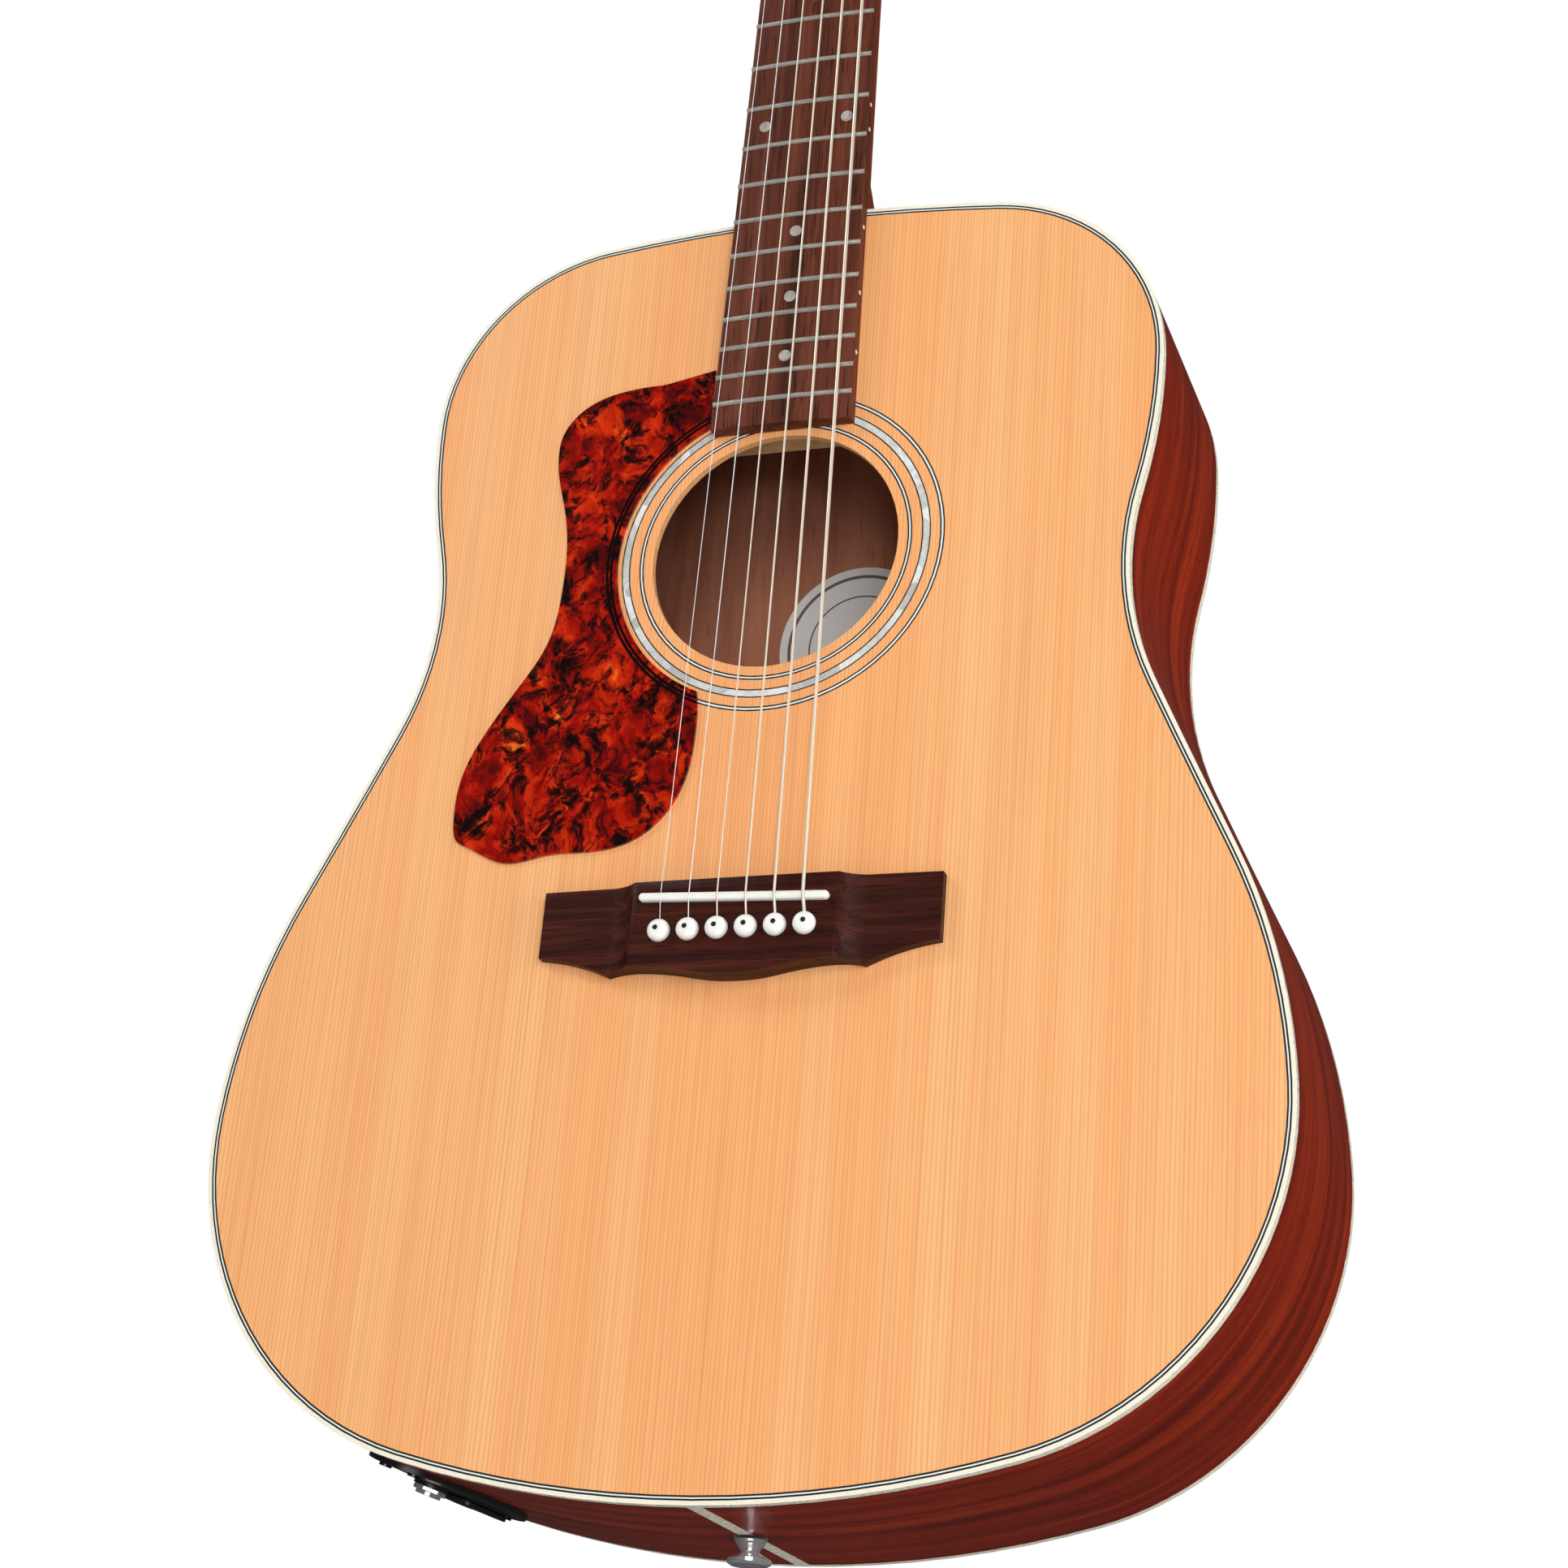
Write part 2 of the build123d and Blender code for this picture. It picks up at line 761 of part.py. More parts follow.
with BuildPart(top) as headstock_veneer:
    with BuildSketch(head):
        add(head_shape)
        Rectangle(2 * head_half_width, 4, mode=Mode.SUBTRACT)
        with Locations(*post_spots):
            Circle(bushing_radius, mode=Mode.SUBTRACT)
        with Locations((0, rod_pocket[1] / 2)):
            RectangleRounded(rod_pocket[0], rod_pocket[1] + 4, 4, mode=Mode.SUBTRACT)
        with Locations((0, cover_screw_row)):
            Circle(0.9, mode=Mode.SUBTRACT)
    extrude(amount=veneer_thickness)
save(headstock_veneer, "headstock_veneer")

with BuildPart(top) as fingerboard:
    with BuildSketch(top):
        with BuildLine():
            end_half = board_half_width(board_end)
            nut_half = board_half_width(nut_front)
            Polyline(
                (-end_half, board_end),
                (end_half, board_end),
                (nut_half, nut_front),
                (-nut_half, nut_front),
                close=True,
            )
        make_face()
    extrude(amount=board_thickness)
    with Locations((0, nut_front / 2, board_thickness - board_radius)):
        Cylinder(board_radius, 2 * nut_front, rotation=(90, 0, 0), mode=Mode.INTERSECT)
save(fingerboard, "fingerboard")

with BuildPart(top) as frets:
    with BuildSketch(top):
        for number in range(1, fret_count + 1):
            y = scale_length * 2 ** (-number / 12)
            with Locations((0, y)):
                Rectangle(2 * board_half_width(y) - 0.4, fret_width)
    extrude(amount=board_thickness + fret_height)
    with Locations((0, nut_front / 2, board_thickness - board_radius)):
        Cylinder(board_radius + fret_height, 2 * nut_front, rotation=(90, 0, 0), mode=Mode.INTERSECT)
        Cylinder(board_radius, 2 * nut_front, rotation=(90, 0, 0), mode=Mode.SUBTRACT)
save(frets, "frets")


def fret_space(number):
    """The middle of the space below a fret."""
    return scale_length * (2 ** (-(number - 1) / 12) + 2 ** (-number / 12)) / 2


dot_radius = 2.5
dot_height = 0.12
octave_dot_across = 17.5
dot_places = [(0, fret_space(n)) for n in (3, 5, 7, 9, 15, 17, 19)]
dot_places += [(x, fret_space(12)) for x in (-octave_dot_across, octave_dot_across)]

with BuildPart(top) as position_dots:
    with BuildSketch(top):
        with Locations(*dot_places):
            Circle(dot_radius)
    extrude(amount=2 * board_thickness)
    with Locations((0, nut_front / 2, board_thickness - board_radius)):
        Cylinder(board_radius + dot_height, 2 * nut_front, rotation=(90, 0, 0), mode=Mode.INTERSECT)
        Cylinder(board_radius, 2 * nut_front, rotation=(90, 0, 0), mode=Mode.SUBTRACT)
save(position_dots, "position_dots")

with BuildPart(top) as truss_rod:
    with Locations((0, (rod_start + nut_back) / 2, -rod_depth / 2)):
        Box(rod_width - 0.4, nut_back - rod_start - 2, rod_depth - 0.4)
    with Locations((0, nut_back, -rod_depth / 2 - 0.5)):
        Cylinder(2.6, 16, rotation=(90, 0, 0))
save(truss_rod, "truss_rod")

with BuildPart(top) as truss_rod_cover:
    with BuildSketch(head.offset(veneer_thickness)):
        with BuildLine():
            Polyline((11, 3.5), (-11, 3.5), (-9, 40))
            ThreePointArc((-9, 40), (0, 49), (9, 40))
            Line((9, 40), (11, 3.5))
        make_face()
        with Locations((0, cover_screw_row)):
            Circle(0.9, mode=Mode.SUBTRACT)
    extrude(amount=cover_thickness)
save(truss_rod_cover, "truss_rod_cover")

bolt_head_radius = 5.5
bolt_head_height = 4.0
bolt_reach = 11.0

with BuildPart(top) as neck_bolts:
    for z in bolt_levels:
        block_face = neck_end - neck_block_length
        with Locations((0, (block_face + neck_end + bolt_reach) / 2, z)):
            Cylinder(bolt_radius, neck_block_length + bolt_reach, rotation=(90, 0, 0))
        with BuildSketch(across(block_face)):
            with Locations((0, z)):
                RegularPolygon(bolt_head_radius, 6)
        extrude(amount=bolt_head_height)
save(neck_bolts, "neck_bolts")


# ---- Nut and strings ----------------------------------------------------------------

def saddle_point(number):
    """The centre of a string where it rests on the saddle's crown."""
    x = saddle_spacing * (number - 2.5)
    y = saddle_centre[1] + x * sin(radians(saddle_slant))
    return Vector(x, y, saddle_top + string_rest + string_gauges[number] / 2)


def nut_point(number, y):
    """The centre of a string where it passes through the nut, at y."""
    return Vector(nut_spacing * (number - 2.5), y, nut_string_height + string_gauges[number] / 2)


def string_run(start, end, radius):
    """A straight stretch of string with a round end, joined to the current part."""
    begin = top.from_local_coords(start)
    finish = top.from_local_coords(end)
    with BuildPart(mode=Mode.PRIVATE) as run:
        with BuildSketch(Plane(origin=begin, z_dir=finish - begin)):
            Circle(radius)
        extrude(amount=(finish - begin).length)
        with Locations(finish):
            Sphere(radius)
    return run.part


# Each string leaves the nut for the inner side of its own post.
string_posts = [(-1, 0), (-1, 1), (-1, 2), (1, 2), (1, 1), (1, 0)]
ball_radius = 1.8
ball_level = -9.0
ball_forward = 1.1
string_rest = 0.16


def wrap_outer(number):
    """The outer radius of a string's turns round its post."""
    return post_radius + wrap_clearance + string_gauges[number]


def post_point(number):
    """The end of a string's free length, on the inner side of its post, in the top's terms."""
    side, place = string_posts[number]
    x = side * (post_across - wrap_outer(number) + string_gauges[number] / 2)
    level = veneer_thickness + wrap_height
    return top.to_local_coords(head.from_local_coords(Vector(x, post_places[place], level)))


def string_solid(number):
    """One whole string, from its ball end under the bridge to its turns round the post."""
    radius = string_gauges[number] / 2
    pin_x = pin_places[number][0]
    foot = Vector(pin_x, string_slot_row, ball_level)
    bend = Vector(pin_x, string_slot_row, bridge_thickness + radius)
    stops = [foot, bend, saddle_point(number), nut_point(number, nut_front), nut_point(number, nut_back)]
    stops.append(post_point(number))
    side, place = string_posts[number]
    wrap_height_all = wrap_turns * 2 * radius
    with BuildPart() as string:
        for start, end in zip(stops, stops[1:]):
            add(string_run(start, end, radius))
        with Locations(top.from_local_coords(foot + Vector(0, ball_forward, 0))):
            Sphere(ball_radius)
        wrap_plane = head.offset(veneer_thickness + wrap_height - wrap_height_all / 2)
        with BuildSketch(wrap_plane):
            with Locations((side * post_across, post_places[place])):
                Circle(wrap_outer(number))
                Circle(post_radius + wrap_clearance, mode=Mode.SUBTRACT)
        extrude(amount=wrap_height_all)
    return string.part


string_solids = [string_solid(number) for number in range(len(string_gauges))]

with BuildPart() as plain_strings:
    add(string_solids[:plain_string_count])
save(plain_strings, "plain_strings")

with BuildPart() as wound_strings:
    add(string_solids[plain_string_count:])
save(wound_strings, "wound_strings")

nut_slot_play = 0.1

with BuildPart(top) as nut:
    with Locations((0, (nut_front + nut_back) / 2, 0)):
        Box(nut_width, nut_depth, nut_height, align=(Align.CENTER, Align.CENTER, Align.MIN))
    fillet(nut.faces().sort_by(Axis.Y)[0].edges().filter_by(Axis.X), 1.0)
    for number, gauge in enumerate(string_gauges):
        with Locations(nut_point(number, (nut_front + nut_back) / 2)):
            Box(gauge + nut_slot_play, 2 * nut_depth, gauge + nut_slot_play, mode=Mode.SUBTRACT)
        with Locations(nut_point(number, (nut_front + nut_back) / 2) + Vector(0, 0, 1)):
            Box(gauge + nut_slot_play, 2 * nut_depth, 2, mode=Mode.SUBTRACT)
save(nut, "nut")


# ---- Tail hardware ------------------------------------------------------------------

tail = Plane(origin=(0, 0, 0), x_dir=(1, 0, 0), z_dir=(0, 0, -1))
washer_thickness = 1.0
washer_radius = 5.9
button_length = 8.6
button_base_radius = 5.3
button_neck_radius = 3.4
button_head_radius = 7.8

with BuildPart(tail) as strap_washer:
    Cylinder(washer_radius, washer_thickness, align=(Align.CENTER, Align.CENTER, Align.MIN))
    Cylinder(strap_screw_radius, 10, mode=Mode.SUBTRACT)
save(strap_washer, "strap_washer")

with BuildPart() as strap_button:
    with BuildSketch(Plane.XZ):
        with BuildLine():
            base = -washer_thickness
            end = base - button_length
            Polyline((strap_screw_radius, base), (button_base_radius, base), (button_base_radius, base - 0.9))
            Spline(
                (button_base_radius, base - 0.9),
                (button_neck_radius, base - 3.8),
                (button_head_radius, end + 2.0),
                tangents=[(-0.6, -1), (1, -0.6)],
            )
            Line((button_head_radius, end + 2.0), (button_head_radius, end + 0.8))
            Line((button_head_radius, end + 0.8), (button_head_radius - 1.2, end))
            Line((button_head_radius - 1.2, end), (3.8, end))
            Line((3.8, end), (strap_screw_radius, end + 2))
            Line((strap_screw_radius, end + 2), (strap_screw_radius, base))
        make_face()
    revolve(axis=Axis.Z)
save(strap_button, "strap_button")

with BuildPart(tail) as strap_screw:
    screw_face = washer_thickness + button_length
    with Locations((0, 0, screw_face)):
        Cylinder(
            strap_screw_radius - 0.1,
            screw_face + strap_screw_length - 4,
            align=(Align.CENTER, Align.CENTER, Align.MAX),
        )
        Cone(strap_screw_radius - 0.1, 3.6, 1.8, align=(Align.CENTER, Align.CENTER, Align.MAX))
        Box(1.0, 5.0, 2.0, mode=Mode.SUBTRACT)
        Box(5.0, 1.0, 2.0, mode=Mode.SUBTRACT)
save(strap_screw, "strap_screw")

battery_width, battery_depth, battery_length = battery_size
tray_width = battery_width + 2 * drawer_wall + 0.6
tray_depth = battery_depth + drawer_wall + 0.6
sleeve_wall = 2.0
sleeve_width = tray_width + 2 * drawer_gap
sleeve_depth = tray_depth + 2 * drawer_gap
tray_length = battery_length + 2 * drawer_wall + 0.6
drawer_seat = jack_plate_thickness + 0.3
collar_radius = 6.6
collar_top = 3.0
barrel_top = 6.0

with BuildPart(jack_plane) as jack_plate:
    with BuildSketch(jack_plane.offset(-3)):
        Ellipse(jack_plate_size[0] / 2, jack_plate_size[1] / 2)
    extrude(amount=12)
    with BuildSketch(top):
        add(body_shape(-jack_plate_thickness))
        add(outer_shape, mode=Mode.SUBTRACT)
    extrude(amount=-beyond_back, mode=Mode.INTERSECT)
    with Locations((jack_offset, 0, 0)):
        Cylinder(collar_radius, collar_top, align=(Align.CENTER, Align.CENTER, Align.MIN))
        Cylinder(jack_barrel_radius + 0.1, 40, mode=Mode.SUBTRACT)
    with Locations((drawer_offset, 0, drawer_seat - 0.4)):
        Box(
            sleeve_width + 2 * sleeve_wall,
            sleeve_depth + 2 * sleeve_wall,
            tray_length + sleeve_wall + 3,
            align=(Align.CENTER, Align.CENTER, Align.MAX),
        )
    with Locations((drawer_offset, 0, drawer_seat + 5)):
        Box(
            sleeve_width,
            sleeve_depth,
            tray_length + 8,
            align=(Align.CENTER, Align.CENTER, Align.MAX),
            mode=Mode.SUBTRACT,
        )
    with Locations(*jack_screws):
        Cylinder(screw_shank_radius, 20, mode=Mode.SUBTRACT)
    with Locations(*[(x, y, jack_plate_thickness - 0.9) for x, y in jack_screws]):
        Cylinder(2.4, 5, align=(Align.CENTER, Align.CENTER, Align.MIN), mode=Mode.SUBTRACT)
save(jack_plate, "jack_plate")

with BuildPart(jack_plane) as output_jack:
    with Locations((jack_offset, 0, barrel_top)):
        Cylinder(jack_barrel_radius, 30, align=(Align.CENTER, Align.CENTER, Align.MAX))
    with Locations((jack_offset, 0, -6.0)):
        Cylinder(6.6, 24, align=(Align.CENTER, Align.CENTER, Align.MAX))
    with Locations((jack_offset, 0, barrel_top + 1)):
        Cylinder(jack_bore_radius, 34, align=(Align.CENTER, Align.CENTER, Align.MAX), mode=Mode.SUBTRACT)
save(output_jack, "output_jack")

with BuildPart(jack_plane) as jack_nut:
    with BuildSketch(jack_plane.offset(collar_top)):
        with Locations((jack_offset, 0)):
            RegularPolygon(6.2, 6)
            Circle(jack_barrel_radius + 0.1, mode=Mode.SUBTRACT)
    extrude(amount=1.8)
save(jack_nut, "jack_nut")

jack_axis = Axis((0, 0, 0), jack_plane.z_dir)

with BuildPart(jack_plane) as battery_drawer:
    with Locations((drawer_offset, 0, drawer_seat)):
        Box(
            tray_width + 3.0,
            tray_depth + 3.0,
            1.8,
            align=(Align.CENTER, Align.CENTER, Align.MIN),
        )
        fillet(battery_drawer.edges().filter_by(jack_axis), 3)
        Box(tray_width, tray_depth, tray_length, align=(Align.CENTER, Align.CENTER, Align.MAX))
    with Locations((drawer_offset, drawer_wall, drawer_seat - drawer_wall)):
        Box(
            battery_width + 0.6,
            tray_depth,
            battery_length + 0.6,
            align=(Align.CENTER, Align.CENTER, Align.MAX),
            mode=Mode.SUBTRACT,
        )
    with Locations((drawer_offset + tray_width / 2 + 1, 0, drawer_seat + 1.8)):
        Cylinder(4.5, 1.6, mode=Mode.SUBTRACT)
save(battery_drawer, "battery_drawer")

with BuildPart(jack_plane) as battery:
    battery_middle = -tray_depth / 2 + drawer_wall + 0.2 + battery_depth / 2
    with Locations((drawer_offset, battery_middle, drawer_seat - drawer_wall - 0.3)):
        Box(*battery_size, align=(Align.CENTER, Align.CENTER, Align.MAX))
    fillet(battery.edges().filter_by(jack_axis), 2)
save(battery, "battery")


# ---- Tuners -------------------------------------------------------------------------

worm_across = gear_radius + worm_radius + worm_clearance
key_level = -head_thickness - key_depth
housing_reach = 11.0
housing_back = 8.0
button_place = 51.0
button_size = (21.0, 13.0, 7.5)
face_level = veneer_thickness

with BuildPart(head) as tuner_housings:
    for side, y in [(side, y) for side in (-1, 1) for y in post_places]:
        middle = side * (post_across + (housing_reach - housing_back) / 2)
        with Locations((middle, y - 2.5, -head_thickness)):
            Box(
                housing_reach + housing_back,
                22,
                housing_depth,
                align=(Align.CENTER, Align.CENTER, Align.MAX),
            )
        with Locations((side * post_across, y + ear_offset, -head_thickness)):
            Cylinder(4.2, 2.2, align=(Align.CENTER, Align.CENTER, Align.MAX))
    back_edges = tuner_housings.faces().group_by(Axis((0, 0, 0), head.z_dir))[0].edges()
    fillet(back_edges, 2.0)
    for side, y in [(side, y) for side in (-1, 1) for y in post_places]:
        with Locations((side * post_across, y, -head_thickness - 1.5)):
            Cylinder(
                gear_radius + 0.6,
                housing_depth - 3,
                align=(Align.CENTER, Align.CENTER, Align.MAX),
                mode=Mode.SUBTRACT,
            )
        with Locations((side * post_across, y, -head_thickness)):
            Cylinder(post_radius + post_clearance, 6, mode=Mode.SUBTRACT)
        with Locations((side * post_across, y - worm_across, key_level)):
            Cylinder(worm_radius + 0.5, 11, rotation=(0, 90, 0), mode=Mode.SUBTRACT)
        with Locations((side * (post_across + 10), y - worm_across, key_level)):
            Cylinder(shaft_radius + post_clearance, 20, rotation=(0, 90, 0), mode=Mode.SUBTRACT)
        with Locations((side * post_across, y + ear_offset, -head_thickness)):
            Cylinder(screw_shank_radius, 10, mode=Mode.SUBTRACT)
save(tuner_housings, "tuner_housings")

with BuildPart(head) as tuner_bushings:
    with BuildSketch(head.offset(-head_thickness)):
        with Locations(*post_spots):
            Circle(bushing_radius)
    extrude(amount=head_thickness + face_level)
    with BuildSketch(head.offset(face_level)):
        with Locations(*post_spots):
            Circle(7.4)
    extrude(amount=1.0)
    with BuildSketch(head.offset(face_level + 1.0)):
        with Locations(*post_spots):
            RegularPolygon(6.2, 6)
    extrude(amount=2.6)
    with Locations(*[(x, y, 0) for x, y in post_spots]):
        Cylinder(post_radius + post_clearance, 60, mode=Mode.SUBTRACT)
save(tuner_bushings, "tuner_bushings")

for index, (side, place) in enumerate(string_posts):
    x = side * post_across
    y = post_places[place]
    with BuildPart(head) as tuner_post:
        with Locations((x, y, key_level - 4.2)):
            Cylinder(
                post_radius,
                face_level + post_height - key_level + 4.2,
                align=(Align.CENTER, Align.CENTER, Align.MIN),
            )
        fillet(tuner_post.faces().sort_by(Axis((0, 0, 0), head.z_dir))[-1].edges(), 0.8)
        with Locations((x, y, key_level)):
            Cylinder(gear_radius, 6)
            with PolarLocations(gear_radius + 0.3, gear_teeth):
                Cylinder(0.7, 7, mode=Mode.SUBTRACT)
        with Locations((x, y, face_level + wrap_height + 5.5)):
            Cylinder(0.9, 10, rotation=(0, 90, 0), mode=Mode.SUBTRACT)
    save(tuner_post, f"tuner_post_{index + 1}")

    with BuildPart(head) as tuner_key:
        key_y = y - worm_across
        with Locations((x, key_y, key_level)):
            Cylinder(worm_radius, 9, rotation=(0, 90, 0))
        with Locations((side * (post_across + button_place) / 2, key_y, key_level)):
            Cylinder(shaft_radius, button_place - post_across, rotation=(0, 90, 0))
        with Locations((side * (button_place - 8), key_y, key_level)):
            Cylinder(3.0, 5, rotation=(0, 90, 0))
        with BuildSketch(head.offset(key_level - button_size[2] / 2)):
            with Locations((side * button_place, key_y)):
                SlotOverall(button_size[0], button_size[1], rotation=90)
        extrude(amount=button_size[2])
        flat_faces = tuner_key.faces().sort_by(SortBy.AREA)[-2:]
        fillet(flat_faces.edges(), 2.4)
    save(tuner_key, f"tuner_key_{index + 1}")


# ---- Small screws -------------------------------------------------------------------

with BuildPart() as small_screws:
    with Locations(jack_plane):
        with Locations(*[(x, y, jack_plate_thickness - 0.9) for x, y in jack_screws]):
            Cylinder(screw_shank_radius - 0.1, 9, align=(Align.CENTER, Align.CENTER, Align.MAX))
            Cylinder(2.3, 1.6, align=(Align.CENTER, Align.CENTER, Align.MIN))
    with Locations(head):
        with Locations(*[(x, y + ear_offset, -head_thickness - 2.2) for x, y in post_spots]):
            Cylinder(screw_shank_radius - 0.1, 11, align=(Align.CENTER, Align.CENTER, Align.MIN))
            Cylinder(2.6, 1.2, align=(Align.CENTER, Align.CENTER, Align.MAX))
        with Locations((0, cover_screw_row, veneer_thickness + cover_thickness)):
            Cylinder(0.8, veneer_thickness + cover_thickness, align=(Align.CENTER, Align.CENTER, Align.MAX))
            Cylinder(1.9, 0.8, align=(Align.CENTER, Align.CENTER, Align.MIN))
save(small_screws, "small_screws")
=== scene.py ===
import bpy, bmesh, json
from math import asin, radians, tau
from mathutils import Matrix, Vector


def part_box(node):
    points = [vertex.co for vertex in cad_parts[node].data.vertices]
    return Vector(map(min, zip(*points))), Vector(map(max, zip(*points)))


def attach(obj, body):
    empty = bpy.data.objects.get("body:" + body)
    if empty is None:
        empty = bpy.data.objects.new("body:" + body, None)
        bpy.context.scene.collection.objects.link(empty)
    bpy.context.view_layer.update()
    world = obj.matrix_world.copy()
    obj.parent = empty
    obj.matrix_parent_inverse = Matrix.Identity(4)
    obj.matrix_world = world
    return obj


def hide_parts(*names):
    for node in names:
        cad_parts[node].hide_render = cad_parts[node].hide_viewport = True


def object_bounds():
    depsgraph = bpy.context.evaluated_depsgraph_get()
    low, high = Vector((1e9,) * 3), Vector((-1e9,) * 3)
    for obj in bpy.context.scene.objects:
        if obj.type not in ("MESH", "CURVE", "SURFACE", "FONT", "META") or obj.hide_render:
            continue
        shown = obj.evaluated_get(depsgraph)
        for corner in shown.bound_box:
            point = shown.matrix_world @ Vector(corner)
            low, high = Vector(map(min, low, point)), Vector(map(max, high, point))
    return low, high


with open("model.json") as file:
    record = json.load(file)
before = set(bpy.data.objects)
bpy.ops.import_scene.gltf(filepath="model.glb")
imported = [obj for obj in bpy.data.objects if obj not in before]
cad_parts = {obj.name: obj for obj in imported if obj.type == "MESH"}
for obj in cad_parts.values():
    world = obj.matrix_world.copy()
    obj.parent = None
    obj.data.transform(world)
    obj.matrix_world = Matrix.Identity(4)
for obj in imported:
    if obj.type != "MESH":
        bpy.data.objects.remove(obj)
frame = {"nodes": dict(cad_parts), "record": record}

cadBox = [list(corner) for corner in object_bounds()]
nodes = frame["nodes"]
record = frame["record"]
bodyOf = {node: body for body, members in record["behaviour"]["bodies"].items() for node in members}
slotOf = {entry["node"]: entry["material_slot"] for entry in record["subparts"]}
print("frame loaded:", len(nodes), "nodes")

view = {
    "place": (0.3758, -1.0106, -0.1713),
    "turn": (115.12, -3.53, 17.30),  # degrees
    "lens": 69.3,
    "sensor": 36,
    "shift": (-0.0664, -0.0681),
}

def makeCamera():
    camera = bpy.data.objects.new("camera", bpy.data.cameras.new("camera"))
    bpy.context.scene.collection.objects.link(camera)
    camera.location = view["place"]
    camera.rotation_euler = [radians(angle) for angle in view["turn"]]
    camera.data.lens = view["lens"]
    camera.data.sensor_width = view["sensor"]
    camera.data.shift_x, camera.data.shift_y = view["shift"]
    bpy.context.scene.camera = camera

studio = {
    "floorDrop": 0.35,  # the guitar hangs this far above the floor
    "floorSize": 60.0,
    "floorColor": (0.85, 0.85, 0.84),
    "floorRoughness": 0.7,
    "backdrop": 1.0,  # what the camera sees behind the guitar
    "fill": 0.035,  # what lights it from all round
    "lamps": [  # place, size, power, whether polish mirrors it
        ((-2.6, -1.8, 2.6), 1.2, 42, True),
        ((2.6, -2.8, 1.4), 0.8, 24, True),
        ((0.6, 2.6, 2.0), 2.0, 50, False),
        ((0.75, -1.7, -0.35), 0.5, 10, False),
        ((1.1, -3.4, -0.1), 2.6, 80, True),
        ((3.0, -0.5, 0.1), 1.5, 44, False),
        ((-2.6, 1.2, 0.6), 1.5, 30, False),
    ],
    "aim": (0, 0, 0.3),
}

def makeFloor():
    mesh = bpy.data.meshes.new("floor")
    bm = bmesh.new()
    bmesh.ops.create_grid(bm, x_segments=1, y_segments=1, size=studio["floorSize"] / 2)
    bm.to_mesh(mesh)
    bm.free()
    mesh.materials.append(startMaterial("floorPaint", studio["floorColor"], studio["floorRoughness"])[0])
    floor = bpy.data.objects.new("floor", mesh)
    floor.location.z = cadBox[0][2] - studio["floorDrop"]
    floor.visible_glossy = False
    bpy.context.scene.collection.objects.link(floor)

def makeBackdrop():
    # the camera sees a white room, and only a little of it lights the guitar
    world = bpy.data.worlds.new("studio")
    bpy.context.scene.world = world
    world.use_nodes = True
    tree = world.node_tree
    sky = tree.nodes["Background"]
    sky.inputs["Color"].default_value = (1, 1, 1, 1)
    seen = addNode(tree, "LightPath").outputs["Is Camera Ray"]
    levels = {"To Min": studio["fill"], "To Max": studio["backdrop"]}
    feed(tree, sky, "Strength", addNode(tree, "MapRange", {"Value": seen}, levels).outputs[0])
    bpy.context.scene.view_settings.view_transform = "Standard"

def makeLamps():
    for number, (spot, size, power, mirrored) in enumerate(studio["lamps"]):
        data = bpy.data.lights.new("lamp%d" % number, "AREA")
        data.shape = "DISK"
        data.size = size
        data.energy = power
        lamp = bpy.data.objects.new("lamp%d" % number, data)
        lamp.location = spot
        lamp.visible_glossy = mirrored
        aim = Vector(studio["aim"]) - Vector(spot)
        lamp.rotation_euler = aim.to_track_quat("-Z", "Y").to_euler()
        bpy.context.scene.collection.objects.link(lamp)

def startMaterial(name, color, roughness, **inputs):
    mat = bpy.data.materials.new(name)
    mat.use_nodes = True
    shader = mat.node_tree.nodes["Principled BSDF"]
    shader.inputs["Base Color"].default_value = (*color, 1)
    shader.inputs["Roughness"].default_value = roughness
    for socket, value in inputs.items():
        shader.inputs[socket.replace("_", " ")].default_value = value
    return mat, mat.node_tree, shader

def addNode(tree, kind, links=None, values=None, **settings):
    # one node, with its settings, its fixed inputs and what feeds it
    node = tree.nodes.new("ShaderNode" + kind)
    for key, value in settings.items():
        setattr(node, key, value)
    for socket, value in (values or {}).items():
        node.inputs[socket].default_value = value
    for socket, source in (links or {}).items():
        tree.links.new(source, node.inputs[socket])
    return node

def feed(tree, node, socket, source):
    tree.links.new(source, node.inputs[socket])

def place(tree, output="Object"):
    return addNode(tree, "TexCoord").outputs[output]

def scaled(tree, vector, scale=(1, 1, 1), turn=(0, 0, 0)):
    values = {"Scale": scale, "Rotation": turn}
    return addNode(tree, "Mapping", {"Vector": vector}, values).outputs["Vector"]

def calc(tree, operation, first, second=0.5):
    node = addNode(tree, "Math", operation=operation)
    for socket, value in enumerate((first, second)):
        if hasattr(value, "node"):
            tree.links.new(value, node.inputs[socket])
        else:
            node.inputs[socket].default_value = value
    return node.outputs[0]

def times(tree, first, second):
    return calc(tree, "MULTIPLY", first, second)

def ramp(tree, source, stops, interpolation="LINEAR"):
    node = addNode(tree, "ValToRGB", {"Fac": source})
    band = node.color_ramp
    band.interpolation = interpolation
    band.elements[1].position = stops[-1][0]
    band.elements[0].position = stops[0][0]
    for position, _ in stops[1:-1]:
        band.elements.new(position)
    for element, (_, color) in zip(band.elements, stops):
        element.color = (*color, 1)
    return node.outputs["Color"]

def grey(level):
    return (level, level, level)

def fade(tree, source, low, high, top=1.0):
    # nothing below low, and top above high
    return ramp(tree, source, [(low, grey(0)), (high, grey(top))])

def dimmed(color, amount):
    return tuple(amount * part for part in color)

